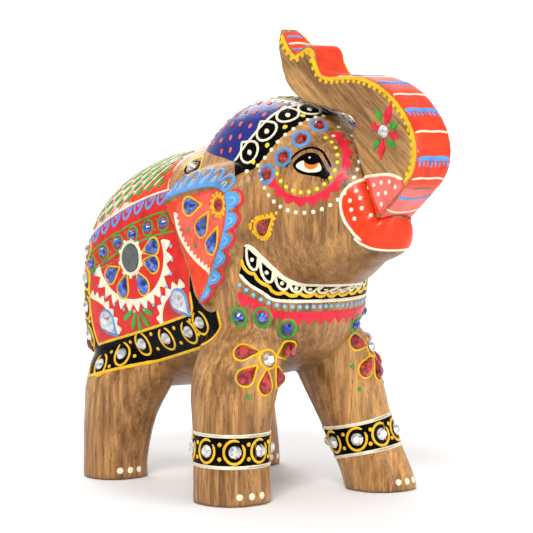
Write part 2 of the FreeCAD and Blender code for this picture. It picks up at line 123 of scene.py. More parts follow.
def wood(name, light, middle, dark, pore, turn=(0.0, 0.0, 0.0)):
    """Varnished wood: streaks along the grain, light and dark patches, fine pores, and painted shade darkening
    the undersides.
    """
    material, tree, shader = new_material(name)
    along = stretched(tree, turn, (1.0, 1.0, 14.0))
    broad = noise_of(tree, stretched(tree, turn, (1.0, 1.0, 2.2)), 32.0, 3.0, 0.55, 0.6)
    streaks = noise_of(tree, along, 400.0, 7.0, 0.68, 0.3)
    pores = noise_of(tree, stretched(tree, turn, (1.0, 1.0, 9.0)), 1500.0, 2.0, 0.6)
    body = ramp(tree, streaks, ((0.36, dark), (0.50, middle), (0.64, light)))
    patches = ramp(tree, broad, ((0.32, dark), (0.48, middle), (0.62, light)))
    tone = mixed(tree, 0.42, body, patches)
    pore_mask = ramp(tree, pores, ((0.33, (0.62, 0.62, 0.62)), (0.42, (0.0, 0.0, 0.0))))
    # painted shade: the more a surface faces downward, the more its colour is mixed toward the dark grain
    # colour
    facing = add(tree, "ShaderNodeSeparateXYZ")
    tree.links.new(add(tree, "ShaderNodeNewGeometry").outputs["Normal"], facing.inputs["Vector"])
    underside_shade_mask = add(tree, "ShaderNodeMapRange")
    for socket, value in (("From Min", 0.05), ("From Max", -0.85), ("To Min", 0.0), ("To Max", 0.62)):
        underside_shade_mask.inputs[socket].default_value = value
    tree.links.new(facing.outputs["Z"], underside_shade_mask.inputs["Value"])
    underside_shaded = mixed(tree, underside_shade_mask.outputs["Result"], tone, dark)
    coloured = mixed(tree, pore_mask, underside_shaded, pore)
    tree.links.new(coloured, shader.inputs["Base Color"])
    shader.inputs["Roughness"].default_value = 0.38
    shader.inputs["Specular IOR Level"].default_value = 0.32
    shader.inputs["Coat Weight"].default_value = 0.10
    shader.inputs["Coat Roughness"].default_value = 0.20
    bumped(tree, shader, streaks, 0.30, 0.0008)
    return material


def enamel(name, colour, shade=0.72, roughness=0.27, specular=0.20):
    """Hand-laid gloss paint: uneven depth of colour and faint brush ridges."""
    material, tree, shader = new_material(name)
    place = stretched(tree, (0.0, 0.0, 0.0), (1.0, 1.0, 1.0))
    depth = noise_of(tree, place, 160.0, 3.0)
    darker = tuple(c * shade for c in colour)
    lighter = tuple(min(1.0, c * 1.06 + 0.002) for c in colour)
    coloured = ramp(tree, depth, ((0.34, darker), (0.52, colour), (0.70, lighter)))
    tree.links.new(coloured, shader.inputs["Base Color"])
    shader.inputs["Roughness"].default_value = roughness
    shader.inputs["Specular IOR Level"].default_value = specular
    shader.inputs["Coat Weight"].default_value = 0.6 * specular
    shader.inputs["Coat Roughness"].default_value = 0.08
    bumped(tree, shader, noise_of(tree, place, 900.0, 2.0), 0.30, 0.0004)
    return material


def gem(name, deep, body, painted_glint, metallic=0.35):
    """Foil-backed glass with painted reflections: each facet and small cell is coloured from dark through the
    body colour to a painted glint.
    """
    material, tree, shader = new_material(name)
    geometry = add(tree, "ShaderNodeNewGeometry")
    # painted reflections: each facet's brightness is set by the direction it faces, and small cells add painted
    # sparkle, up to the glint colour
    painted_facet_shine = noise_of(tree, geometry.outputs["True Normal"], 3.1, 1.0)
    inside = add(tree, "ShaderNodeTexVoronoi")
    inside.inputs["Scale"].default_value = 620.0
    place = add(tree, "ShaderNodeTexCoord")
    tree.links.new(place.outputs["Object"], inside.inputs["Vector"])
    painted_facet_colours = ramp(tree, painted_facet_shine, ((0.34, deep), (0.50, body), (0.66, painted_glint)))
    painted_sparkle_colours = ramp(tree, inside.outputs["Color"], ((0.25, deep), (0.55, body), (0.85, painted_glint)))
    tree.links.new(mixed(tree, 0.42, painted_facet_colours, painted_sparkle_colours), shader.inputs["Base Color"])
    shader.inputs["Metallic"].default_value = metallic
    shader.inputs["Roughness"].default_value = 0.08
    shader.inputs["Coat Weight"].default_value = 0.6
    shader.inputs["Coat Roughness"].default_value = 0.02
    shader.inputs["IOR"].default_value = 1.6
    return material


def silvered(name):
    material, tree, shader = new_material(name)
    place = stretched(tree, (0.0, 0.0, 0.0), (1.0, 1.0, 1.0))
    haze = noise_of(tree, place, 300.0, 4.0)
    tone = ramp(tree, haze, ((0.3, (0.10, 0.11, 0.11)), (0.7, (0.17, 0.18, 0.18))))
    tree.links.new(tone, shader.inputs["Base Color"])
    shader.inputs["Metallic"].default_value = 0.55
    shader.inputs["Roughness"].default_value = 0.16
    return material


TRUNK_GRAIN = (math.radians(-52.0), 0.0, 0.0)
body_wood = wood("body_wood", (0.76, 0.40, 0.128), (0.38, 0.178, 0.052), (0.10, 0.038, 0.012),
                 (0.05, 0.020, 0.007))
trunk_wood = wood("trunk_wood", (0.76, 0.44, 0.150), (0.44, 0.225, 0.070), (0.15, 0.064, 0.021),
                  (0.06, 0.025, 0.009), TRUNK_GRAIN)
dowel_wood = wood("dowel_wood", (0.70, 0.52, 0.32), (0.62, 0.43, 0.24), (0.45, 0.29, 0.14),
                  (0.30, 0.18, 0.09))
PAINT = {
    "orange_red": enamel("enamel_orange_red", (0.90, 0.050, 0.010)),
    "red": enamel("enamel_red", (0.72, 0.014, 0.008)),
    "coral": enamel("enamel_coral", (0.92, 0.130, 0.075)),
    "crimson": enamel("enamel_crimson", (0.82, 0.022, 0.050)),
    # painted highlight: a pink that stands in for the glossy reflection on the red paint of the mouth facet and
    # the trunk's lower end
    "rose": enamel("enamel_rose", (0.92, 0.17, 0.14)),
    "cream": enamel("enamel_cream", (0.90, 0.83, 0.62), 0.86),
    "blush": enamel("enamel_blush", (0.90, 0.64, 0.52), 0.84),
    "yellow": enamel("enamel_yellow", (0.90, 0.52, 0.012), 0.80),
    "lemon": enamel("enamel_lemon", (0.93, 0.70, 0.03), 0.84),
    "sky": enamel("enamel_sky", (0.095, 0.34, 0.78)),
    "pale_blue": enamel("enamel_pale_blue", (0.24, 0.56, 0.86), 0.82),
    "navy": enamel("enamel_navy", (0.010, 0.018, 0.22), 0.5),
    "green": enamel("enamel_green", (0.045, 0.36, 0.045)),
    "black": enamel("enamel_black", (0.0015, 0.001, 0.001), 0.6, 0.16, 0.04),
    "orange": enamel("enamel_orange", (0.88, 0.17, 0.015)),
    "putty": enamel("enamel_putty", (0.42, 0.37, 0.35), 0.7, 0.55),
}


# ------------------------------------------------------------------ wood
def carved_copy(node, name, voxel, rounds, material):
    """The wood of a CAD node with its edges rounded as by sanding, and slightly uneven as by a knife."""
    piece = bpy.data.objects.new(name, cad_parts[node].data.copy())
    scene.collection.objects.link(piece)
    grid = piece.modifiers.new("grid", "REMESH")
    grid.mode = "VOXEL"
    grid.voxel_size = voxel * MM
    sanded = piece.modifiers.new("sanded", "SMOOTH")
    sanded.factor = 0.5
    sanded.iterations = rounds
    ready = bpy.data.meshes.new_from_object(piece.evaluated_get(bpy.context.evaluated_depsgraph_get()))
    piece.modifiers.clear()
    piece.data = ready
    count = len(ready.vertices)
    places = np.empty(count * 3)
    ready.vertices.foreach_get("co", places)
    normals = np.empty(count * 3)
    ready.vertices.foreach_get("normal", normals)
    places = places.reshape(-1, 3)
    normals = normals.reshape(-1, 3)
    uneven = np.array([noise.noise(Vector(p * 95.0)) for p in places])
    places += normals * (uneven * 0.00012)[:, None]
    ready.vertices.foreach_set("co", places.ravel())
    ready.polygons.foreach_set("use_smooth", [True] * len(ready.polygons))
    ready.materials.clear()
    ready.materials.append(material)
    ready.update()
    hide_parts(node)
    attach(piece, "root")
    return piece


class Skin:
    """The surface of some wood, in millimetres, for finding where ornament lies on it."""

    def __init__(self, pieces):
        corners = []
        faces = []
        normals = []
        for piece in pieces:
            start = len(corners)
            corners += [vertex.co / MM for vertex in piece.data.vertices]
            normals += [vertex.normal.copy() for vertex in piece.data.vertices]
            faces += [tuple(start + v for v in polygon.vertices) for polygon in piece.data.polygons]
        self.faces = faces
        self.normals = normals
        self.tree = BVHTree.FromPolygons(corners, faces)

    def facing(self, index):
        total = Vector((0.0, 0.0, 0.0))
        for corner in self.faces[index]:
            total += self.normals[corner]
        return total.normalized()

    def cast(self, start, aim, reach=400.0, near=None):
        """The first point of the wood on the way from start to aim, and its outward direction.

        Where nothing is met within reach, the wood closest to near.
        """
        spot, normal, index, distance = self.tree.ray_cast(start, (aim - start).normalized(), reach)
        if spot is None:
            spot, normal, index, distance = self.tree.find_nearest(near or aim)
        return spot, self.facing(index)

    def nearest(self, place):
        spot, normal, index, distance = self.tree.find_nearest(place)
        return spot, self.facing(index)


body = carved_copy("carved_body", "wood_body", 0.95, 5, body_wood)
trunk = carved_copy("carved_trunk", "wood_trunk", 0.7, 4, trunk_wood)
body_skin = Skin([body])
trunk_skin = Skin([trunk])
both_skin = Skin([body, trunk])


# ------------------------------------------------------------------ charts
# A chart turns two flat measures into a point of the wood and its outward direction.
LEG_RADIUS = 15.0    # where a tilted band's rise is measured
DECAL_REACH = 12.0   # how far before and behind a decal the wood is looked for


def square_chart(axis, start, end, skin):
    """The two other coordinates, seen square on along one axis from its start toward its end."""
    def place(a, b):
        ends = []
        for level in (start, end):
            spot = [a, b]
            spot.insert(axis, level)
            ends.append(Vector(spot))
        return skin.cast(*ends)
    return place


def side_chart(side, skin=None):
    """y and z, seen from one side."""
    return square_chart(0, side * 90.0, 0.0, skin or body_skin)


def top_chart(skin=None):
    """x and y, seen from above."""
    return square_chart(2, 215.0, 60.0, skin or body_skin)


def around_chart(side, height):
    """y, and degrees up from the horizontal round a lengthwise line at one height."""
    def place(y, degrees):
        turn = math.radians(degrees)
        middle = Vector((0.0, y, height))
        return body_skin.cast(middle + Vector((side * math.cos(turn), 0.0, math.sin(turn))) * 110.0, middle)
    return place


def upright_chart(x, y, side=1, tilt=(0.0, 0.0), start=70.0):
    """Degrees from straight ahead toward one side, and height, round an upright line."""
    def place(degrees, z):
        turn = math.radians(degrees)
        reach = Vector((side * math.sin(turn), -math.cos(turn), 0.0))
        level = z + LEG_RADIUS * (reach.x * tilt[0] + reach.y * tilt[1])
        return body_skin.cast(Vector((x, y, level)) + reach * start, Vector((x, y, level)))
    return place


def decal_chart(centre, normal, upward):
    """Distance across and up from a point, seen square on to the surface there."""
    up = (upward - normal * upward.dot(normal)).normalized()
    across = up.cross(normal)

    def place(a, b):
        foot = centre + across * a + up * b
        return body_skin.cast(foot + normal * DECAL_REACH, foot - normal * DECAL_REACH, 2 * DECAL_REACH, foot)
    return place


# ------------------------------------------------------------------ outlines
def along(points, step, closed=False, smooth=True):
    """Points a step apart on a smooth or straight-sided line through the given ones."""
    points = [np.array(p, float) for p in points]
    count = len(points)
    fine = []
    spans = count if closed else count - 1
    for k in range(spans):
        p1 = points[k]
        p2 = points[(k + 1) % count]
        if not smooth:
            fine.append(p1)
            continue
        p0 = points[(k - 1) % count] if closed or k > 0 else 2 * p1 - p2
        p3 = points[(k + 2) % count] if closed or k + 2 < count else 2 * p2 - p1
        for j in range(8):
            t = j / 8
            fine.append(0.5 * (2 * p1 + (p2 - p0) * t + (2 * p0 - 5 * p1 + 4 * p2 - p3) * t * t
                               + (3 * p1 - p0 - 3 * p2 + p3) * t ** 3))
    fine.append(points[0] if closed else points[-1])
    fine = np.array(fine)
    lengths = np.concatenate([[0.0], np.cumsum(np.linalg.norm(np.diff(fine, axis=0), axis=1))])
    pieces = max(2, int(round(lengths[-1] / step)))
    stations = np.linspace(0.0, lengths[-1], pieces + 1)
    if not smooth:
        stations = np.unique(np.concatenate([stations, lengths]))
    if closed:
        stations = stations[:-1]
    return [tuple(np.interp(s, lengths, fine[:, i]) for i in (0, 1)) for s in stations]


def circle(a, b, radius_a, radius_b=None, first=0.0, last=360.0, count=24):
    radius_b = radius_b or radius_a
    whole = abs(last - first) >= 360.0
    turns = [math.radians(first + (last - first) * k / (count if whole else count - 1)) for k in range(count)]
    return [(a + radius_a * math.cos(t), b + radius_b * math.sin(t)) for t in turns]


def drop(length, radius, gap=0.0, point=0.0):
    """Drop outline with its point along +b: the bulb's middle below the origin."""
    radius = radius + gap
    bulb = -length / 2 + radius - gap
    tip = length / 2 + gap * 1.6 + point
    lean = math.acos(min(1.0, radius / (tip - bulb)))
    shape = [(0.0, tip)]
    for k in range(13):
        turn = lean + (2 * math.pi - 2 * lean) * k / 12
        shape.append((radius * math.sin(turn), bulb + radius * math.cos(turn)))
    return shape


def there_and_back(first, second):
    """A closed outline that goes along one line and returns along another."""
    return list(first) + list(reversed(second))


def strip_of(half, levels):
    """Outline of a strip that reaches half its width each way and runs along the levels."""
    return there_and_back([(-half, level) for level in levels], [(half, level) for level in levels])


def offset_line(points, distance, step=1.0):
    """The same line moved to its left by a distance."""
    path = np.array(along(points, step))
    ways = np.gradient(path, axis=0)
    ways /= np.maximum(np.linalg.norm(ways, axis=1, keepdims=True), 1e-9)
    return [(p[0] - w[1] * distance, p[1] + w[0] * distance) for p, w in zip(path, ways)]


def frill(points, pitch, deep, base=0.0, shape="tooth"):
    """A line of the given points with teeth or scallops standing out to its left."""
    path = np.array(along(points, 0.6))
    ways = np.gradient(path, axis=0)
    ways /= np.maximum(np.linalg.norm(ways, axis=1, keepdims=True), 1e-9)
    run = np.concatenate([[0.0], np.cumsum(np.linalg.norm(np.diff(path, axis=0), axis=1))])
    teeth = max(1, round(run[-1] / pitch))
    phase = run / run[-1] * teeth
    share = phase - np.floor(phase)
    if shape == "tooth":
        rise = 1.0 - np.abs(2.0 * share - 1.0)
    else:
        rise = np.sqrt(np.maximum(0.0, 1.0 - (2.0 * share - 1.0) ** 2))
    reach = base + deep * rise
    return [(p[0] - w[1] * r, p[1] + w[0] * r) for p, w, r in zip(path, ways, reach)]


def inside(points, outline):
    """Which of the points lie within a closed outline."""
    x = points[:, 0][:, None]
    y = points[:, 1][:, None]
    edge = np.array(outline)
    after = np.roll(edge, -1, axis=0)
    crosses = (edge[:, 1] > y) != (after[:, 1] > y)
    slope = (after[:, 0] - edge[:, 0]) / np.where(after[:, 1] == edge[:, 1], 1e-12, after[:, 1] - edge[:, 1])
    left = x < slope * (y - edge[:, 1]) + edge[:, 0]
    return (crosses & left).sum(axis=1) % 2 == 1


# ------------------------------------------------------------------ brush work
SUNK = 0.25          # how far below the wood every stroke starts
LONGEST = 8.0        # no face of paint reaches farther, so none bridges from one part of the wood to another
pots = {}            # strokes gathered by piece name and colour: corners and faces


def pot(piece, colour):
    return pots.setdefault((piece, colour), ([], []))


def sweep(piece, colour, placed, width, height, base, closed=False):
    """A half-round bead of paint along points of the wood."""
    corners, faces = pot(piece, colour)
    profile = ((-0.5, None), (-0.46, 0.45), (-0.25, 0.88), (0.25, 0.88), (0.46, 0.45), (0.5, None))
    count = len(placed)
    start = len(corners)
    for k, (spot, normal) in enumerate(placed):
        before = placed[(k - 1) % count][0] if closed or k > 0 else spot
        after = placed[(k + 1) % count][0] if closed or k < count - 1 else spot
        way = after - before
        if way.length < 1e-6:
            way = Vector((0.0, 0.0, 1.0))
        across = normal.cross(way.normalized()).normalized()
        end = 0 if closed else max(0.0, 1.0 - min(k, count - 1 - k) / 2.0)
        wide = width * (1.0 - 0.55 * end) * random.uniform(0.90, 1.10)
        tall = height * (1.0 - 0.5 * end)
        for a, h in profile:
            lift = -SUNK if h is None else base + tall * h
            corners.append(spot + across * (a * wide) + normal * lift)
    step = len(profile)
    for k in range(count if closed else count - 1):
        if (placed[(k + 1) % count][0] - placed[k][0]).length > LONGEST:
            continue
        here = start + k * step
        there = start + ((k + 1) % count) * step
        for j in range(step - 1):
            faces.append((here + j, there + j, there + j + 1, here + j + 1))
    if not closed:
        faces.append(tuple(range(start, start + step)))
        faces.append(tuple(reversed(range(start + (count - 1) * step, start + count * step))))


def line(piece, colour, chart, points, width=1.1, height=0.34, closed=False, smooth=True, base=0.0):
    path = along(points, 0.75, closed, smooth)
    sweep(piece, colour, [chart(a, b) for a, b in path], width, height, base, closed)


def dot(piece, colour, chart, a, b, radius=0.85, height=0.42, base=0.0, longer=1.0):
    """A round or long dome of paint."""
    corners, faces = pot(piece, colour)
    spot, normal = chart(a, b)
    ahead = chart(a, b + 0.6)[0] - spot
    up = (ahead - normal * ahead.dot(normal))
    up = up.normalized() if up.length > 1e-6 else normal.orthogonal().normalized()
    across = up.cross(normal)
    start = len(corners)
    count = 12
    wobble = [random.uniform(0.93, 1.07) for k in range(count)]
    for share, lift in ((1.0, -SUNK), (0.95, base + height * 0.40), (0.62, base + height * 0.86)):
        for k in range(count):
            turn = 2 * math.pi * k / count
            reach = radius * share * wobble[k]
            corners.append(spot + across * (reach * math.cos(turn)) + up * (reach * longer * math.sin(turn))
                           + normal * lift)
    corners.append(spot + normal * (base + height))
    top = len(corners) - 1
    for ring in range(2):
        for k in range(count):
            after = (k + 1) % count
            low = start + ring * count
            faces.append((low + k, low + count + k, low + count + after, low + after))
    for k in range(count):
        faces.append((start + 2 * count + k, top, start + 2 * count + (k + 1) % count))


def fill(piece, colour, chart, outline, height=0.12, grain=1.3, grain_b=None):
    """A coat of paint inside an outline, standing a height off the wood; grain is the mesh's step."""
    corners, faces = pot(piece, colour)
    steps = np.array((grain, grain_b or grain))
    edge = np.array(outline, float) / steps
    low = edge.min(axis=0)
    high = edge.max(axis=0)
    grid = []
    for row, b in enumerate(np.arange(low[1] + 0.5, high[1], 0.87)):
        for a in np.arange(low[0] + (0.5 if row % 2 else 1.0), high[0], 1.0):
            grid.append((a, b))
    kept = []
    if grid:
        grid = np.array(grid)
        grid = grid[inside(grid, edge)]
        if len(grid):
            gaps = np.sqrt(((grid[:, None, :] - edge[None, :, :]) ** 2).sum(axis=2)).min(axis=1)
            kept = [tuple(p) for p in grid[gaps > 0.45]]
    flat = [Vector(p) for p in edge] + [Vector(p) for p in kept]
    count = len(outline)
    edges = [(k, (k + 1) % count) for k in range(count)]
    found = delaunay_2d_cdt(flat, edges, [list(range(count))], 1, 1e-5)
    flat_out, triangles = found[0], found[2]
    placed = [chart(p.x * steps[0], p.y * steps[1]) for p in flat_out]
    start = len(corners)
    for spot, normal in placed:
        corners.append(spot + normal * height)
    rim = {}
    for triangle in triangles:
        a, b, c = triangle
        if max((placed[p][0] - placed[q][0]).length for p, q in ((a, b), (b, c), (c, a))) > LONGEST:
            continue
        facing = (placed[b][0] - placed[a][0]).cross(placed[c][0] - placed[a][0])
        if facing.dot(placed[a][1]) < 0:
            a, b, c = c, b, a
        faces.append((start + a, start + b, start + c))
        for pair in ((a, b), (b, c), (c, a)):
            rim[pair] = rim.get(pair, 0) + 1
    foot = {}
    for a, b in rim:
        if (b, a) in rim:
            continue
        for corner in (a, b):
            if corner not in foot:
                foot[corner] = len(corners)
                corners.append(placed[corner][0] - placed[corner][1] * SUNK)
        faces.append((start + b, start + a, foot[a], foot[b]))


def finish_paint():
    """Makes one object of each piece's strokes of one colour."""
    for (piece, colour), (corners, faces) in sorted(pots.items()):
        mesh = bpy.data.meshes.new(f"{piece}_{colour}")
        mesh.from_pydata([tuple(c * MM) for c in corners], [], faces)
        mesh.validate()
        mesh.polygons.foreach_set("use_smooth", [True] * len(mesh.polygons))
        mesh.set_sharp_from_angle(angle=math.radians(50.0))
        mesh.materials.append(PAINT[colour])
        stroke = bpy.data.objects.new(f"{piece}_{colour}", mesh)
        scene.collection.objects.link(stroke)
        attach(stroke, "root")


# ------------------------------------------------------------------ stones as placed in the frame
def stones_of(node):
    """Each stone of a CAD node: middle of its back, outward direction, way its point looks, longest reach."""
    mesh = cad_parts[node].data
    keys = {}
    corner = []
    for vertex in mesh.vertices:
        place = vertex.co / MM
        corner.append(keys.setdefault(tuple(round(c, 3) for c in place), len(keys)))
    places = [Vector(k) for k in keys]
    owner = list(range(len(places)))

    def root(k):
        while owner[k] != k:
            owner[k] = owner[owner[k]]
            k = owner[k]
        return k

    for polygon in mesh.polygons:
        ids = [corner[v] for v in polygon.vertices]
        for k in ids[1:]:
            owner[root(k)] = root(ids[0])
    faces = {}
    for polygon in mesh.polygons:
        ids = [corner[v] for v in polygon.vertices]
        faces.setdefault(root(ids[0]), []).append(ids)
    found = []
    for group in faces.values():
        shares = {}
        for ids in group:
            facing = (places[ids[1]] - places[ids[0]]).cross(places[ids[2]] - places[ids[0]])
            key = tuple(round(c, 1) for c in facing.normalized())
            total, area, members = shares.get(key, (Vector(), 0.0, set()))
            shares[key] = (total + facing, area + facing.length, members | set(ids))
        total, area, members = max(shares.values(), key=lambda share: share[1])
        back = [places[k] for k in members]
        middle = sum(back, Vector()) / len(back)
        everything = sum((places[k] for ids in group for k in ids), Vector()) / sum(len(ids) for ids in group)
        normal = total.normalized()
        if normal.dot(everything - middle) < 0:
            normal = -normal
        far = max(back, key=lambda p: (p - middle).length)
        way = (far - middle).normalized()
        spread = [(p - middle).dot(way) for p in back]
        middle = middle + way * (max(spread) + min(spread)) / 2
        found.append((middle, normal, way, (far - middle).length))
    return found


def stone_charts(node, upward=None):
    """For each stone, a chart from its middle, with b upward or along the stone's point, and its reach."""
    return [(decal_chart(middle, normal, upward or way), reach)
            for middle, normal, way, reach in stones_of(node)]


def by_y(found):
    return sorted(found, key=lambda stone: stone[0].y)


def ring_round(piece, colour, chart, radius, width=1.0, height=0.36, longer=1.0, base=0.0):
    shape = circle(0.0, 0.0, radius, radius * longer)
    line(piece, colour, chart, shape, width, height, closed=True, base=base)


def dots_round(piece, colour, chart, turns, radii, middle=(0.0, 0.0), **stroke):
    """Dots on an ellipse at the given degrees."""
    for degrees in turns:
        turn = math.radians(degrees)
        a = middle[0] + radii[0] * math.cos(turn)
        b = middle[1] + radii[1] * math.sin(turn)
        dot(piece, colour, chart, a, b, **stroke)


def half_turn(steps):
    """Angles from nothing to half a turn."""
    return [math.pi * k / steps for k in range(steps + 1)]


PEAR = (10.2, 3.5)           # length and half width of a pear stone
RUBY = (9.5, 3.05)
BIG_PEAR = (12.0, 4.7)


def pear_outline(piece, colour, chart, size, gap=1.0, width=1.0, height=0.38, base=0.0, point=0.8):
    length, radius = size
    shape = drop(length, radius, gap, point)
    line(piece, colour, chart, shape, width, height, closed=True, smooth=False, base=base)


WORDS = {-1: "right", 1: "left"}
UP = Vector((0.0, 0.0, 1.0))


# ------------------------------------------------------------------ blanket on each flank
ROW_FIRST = (26.0, 114.5)    # y and z of the front blue stone in the row along the flank
MIRROR_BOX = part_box("mirror_right")
MIRROR_Y = (MIRROR_BOX[0].y + MIRROR_BOX[1].y) / 2 / MM
MIRROR_Z = (MIRROR_BOX[0].z + MIRROR_BOX[1].z) / 2 / MM
MIRROR_R = (MIRROR_BOX[1].y - MIRROR_BOX[0].y) / 2 / MM


def row_height(y):
    """Height of the row of blue stones along the flank."""
    run = y - ROW_FIRST[0]
    return ROW_FIRST[1] - 0.20 * run - 0.0032 * run * run


def row_line(start, end, lift, count=9):
    """Points at one distance above the row of stones."""
    stations = [start + (end - start) * k / (count - 1) for k in range(count)]
    return [(y, row_height(y) + lift) for y in stations]


SCALLOP_LIFT = 14.2
GREEN_LIFT = 4.7
REAR_EDGE = ((88.5, 113.0), (91.5, 100.0), (91.5, 84.0), (89.0, 66.0), (84.0, 52.0), (77.0, 44.8))
BOTTOM_EDGE = ((77.0, 44.8), (60.0, 48.8), (40.0, 53.8), (18.0, 59.6), (-3.0, 65.0))
FRONT_EDGE = ((-3.0, 65.0), (-6.6, 67.5), (-7.6, 72.0), (-7.4, 79.0))
LEAF_SPRAY = ((50.5, 73.6), (47.3, 70.9), (43.6, 69.9), (39.8, 72.2), (37.4, 76.0))
BEHIND_EAR = ((-7.4, 79.0), (-3.0, 77.8), (2.6, 81.5), (7.6, 92.5), (13.6, 104.5), (20.0, 115.5))
INNER_REAR = ((81.0, 97.0), (80.8, 84.0), (79.2, 70.0), (76.6, 58.6))
INNER_BOTTOM = ((76.6, 58.6), (56.0, 63.6), (32.0, 69.8), (8.6, 76.6))
INNER_FRONT = ((8.6, 76.6), (7.4, 79.5), (8.0, 86.0))
ARC = (48.2, 99.0, 24.6, 19.3)     # saw-tooth arc round the mirror: middle y and z, half axes
QUARTER_REAR = ((59.4, 64.4), (60.6, 68.6), (64.6, 74.4), (70.6, 78.2), (79.6, 80.2))
QUARTER_FRONT = ((11.0, 88.6), (19.0, 85.8), (24.8, 80.8), (27.8, 75.4), (28.6, 70.6))


def blanket(side):
    name = f"blanket_{WORDS[side]}"
    flank = side_chart(side)
    scallop = row_line(27.0, 88.5, SCALLOP_LIFT)
    # black border, red field above it, band of stones, plain strip
    border = along(REAR_EDGE, 2.0) + along(BOTTOM_EDGE, 2.0)[1:] + along(FRONT_EDGE, 1.5)[1:]
    inner = along(INNER_REAR, 2.0) + along(INNER_BOTTOM, 2.0, smooth=False)[1:] + along(INNER_FRONT, 1.5)[1:]
    fill(f"{name}_ground", "black", flank, border + along(BEHIND_EAR[:4], 2.0)[1:] + list(reversed(inner))
         + [(82.0, 108.0)], 0.12)
    field = [(82.4, row_height(82.4) - GREEN_LIFT)] + inner[1:] + along(BEHIND_EAR[3:6], 2.0)[1:-1]
    field += [(18.6, row_height(18.6) - GREEN_LIFT)] + list(reversed(row_line(20.0, 80.0, -GREEN_LIFT)))
    fill(f"{name}_field", "red", flank, field, 0.16)
    strip = row_line(19.5, 88.0, GREEN_LIFT) + list(reversed(row_line(26.0, 88.0, SCALLOP_LIFT - 0.4)))
    fill(f"{name}_strip", "red", flank, strip, 0.12)
    band = row_line(18.6, 90.0, -GREEN_LIFT) + list(reversed(row_line(20.0, 90.0, GREEN_LIFT)))
    fill(f"{name}_band", "red", flank, band, 0.14)
    for lift in (-GREEN_LIFT, GREEN_LIFT):
        line(f"{name}_band", "green", flank, row_line(20.5 + lift * 0.4, 88.0, lift), 0.9, 0.3, base=0.12)
    # border lines
    outer = along(REAR_EDGE, 2.5) + along(BOTTOM_EDGE, 2.5)[1:] + along(FRONT_EDGE, 1.5)[1:]
    line(f"{name}_border", "yellow", flank, outer, 1.5, 0.42)
    line(f"{name}_border", "yellow", flank, inner, 1.3, 0.42, base=0.1)
    # scallops hanging from a cream line
    line(f"{name}_scallops", "cream", flank, scallop, 1.0, 0.34, base=0.1)
    count = 8
    for k in range(count):
        y = 30.5 + (84.5 - 30.5) * k / (count - 1)
        z = row_height(y) + SCALLOP_LIFT
        slope = -0.20 - 0.0064 * (y - ROW_FIRST[0])
        for reach, deep, width in ((2.8, 4.9, 1.4), (0.8, 2.0, 1.1)):
            shape = [(y + reach * math.cos(t), z + slope * reach * math.cos(t) - 0.6 - deep * math.sin(t))
                     for t in half_turn(6)]
            line(f"{name}_scallops", "sky", flank, shape, width, 0.40, base=0.1)
    # stones of the row, each in a green ring with small green dots between
    found = by_y(stones_of(f"blanket_rounds_{WORDS[side]}"))
    for middle, normal, way, reach in found:
        chart = decal_chart(middle, normal, way)
        ring_round(f"{name}_rings", "green", chart, reach + 1.25, 1.0, 0.42, base=0.12)
    for first, second in zip(found, found[1:]):
        y = (first[0].y + second[0].y) / 2
        for lift in (-2.2, 2.4):
            dot(f"{name}_rings", "green", flank, y, row_height(y) + lift, 0.55, 0.36, base=0.12)
    # mirror with its ring of cream petals
    line(f"{name}_mirror", "cream", flank, circle(MIRROR_Y, MIRROR_Z, MIRROR_R + 1.1), 1.9, 0.62, closed=True,
         base=0.1)
    dots_round(f"{name}_mirror", "cream", flank, range(18, 360, 36), (MIRROR_R + 2.3, MIRROR_R + 2.3),
               (MIRROR_Y, MIRROR_Z), radius=1.0, height=0.45, base=0.14)
    for chart, reach in stone_charts(f"blanket_petals_{WORDS[side]}"):
        pear_outline(f"{name}_petals", "yellow", chart, PEAR, 0.45, 0.95, 0.5, base=0.12)
    # saw-tooth arc, blue dots outside it
    arc = circle(ARC[0], ARC[1], ARC[2], ARC[3], 155.0, 346.0, 26)
    teeth = frill(arc, 5.3, -4.2, -0.8)
    fill(f"{name}_arc", "cream", flank, there_and_back(offset_line(arc, 0.9), teeth), 0.30, 1.5)
    dots_round(f"{name}_arc", "pale_blue", flank, np.linspace(166.0, 338.0, 13), (ARC[2] + 4.6, ARC[3] + 4.4),
               ARC[:2], height=0.45, base=0.14)
    # corner pears inside quarter arcs
    for chart, reach in stone_charts(f"clear_pears_{WORDS[side]}"):
        pear_outline(f"{name}_corners", "sky", chart, BIG_PEAR, 0.4, 1.1, 0.55, base=0.12)
    for corner in (QUARTER_REAR, QUARTER_FRONT):
        teeth = frill(corner, 4.2, 2.8, 0.7)
        fill(f"{name}_corners", "cream", flank, there_and_back(offset_line(corner, -0.8), teeth), 0.30, 1.5)
    # leaf spray
    for a, b in LEAF_SPRAY:
        leaf(f"{name}_leaves", "green", flank, a, b, (44.0 - a) * 0.55 + 0.01, (78.0 - b) * 0.55, 1.15)
    # border stones in open rings, dot pairs between
    found = stones_of(f"border_crystals_{WORDS[side]}")
    bottom = by_y([s for s in found if s[0].z < row_height(s[0].y) - 38.0 and s[0].y < 74.0])
    rear = sorted([s for s in found if s not in bottom], key=lambda s: s[0].z)
    for middle, normal, way, reach in bottom + rear:
        chart = decal_chart(middle, normal, Vector((0.0, 0.25, 1.0)))
        shape = circle(0.3, -0.3, reach + 1.5, reach + 2.5, 110.0, 430.0, 20)
        line(f"{name}_border", "yellow", chart, shape, 1.15, 0.45, base=0.1)
    for run in (bottom, rear):
        for first, second in zip(run, run[1:]):
            middle = (first[0] + second[0]) / 2
            across = (second[0] - first[0]).normalized()
            for reach in (-3.4, 3.2):
                y = middle.y - across.z * reach
                z = middle.z + across.y * reach
                dot(f"{name}_border", "yellow", flank, y, z, 0.95, 0.5, base=0.1)


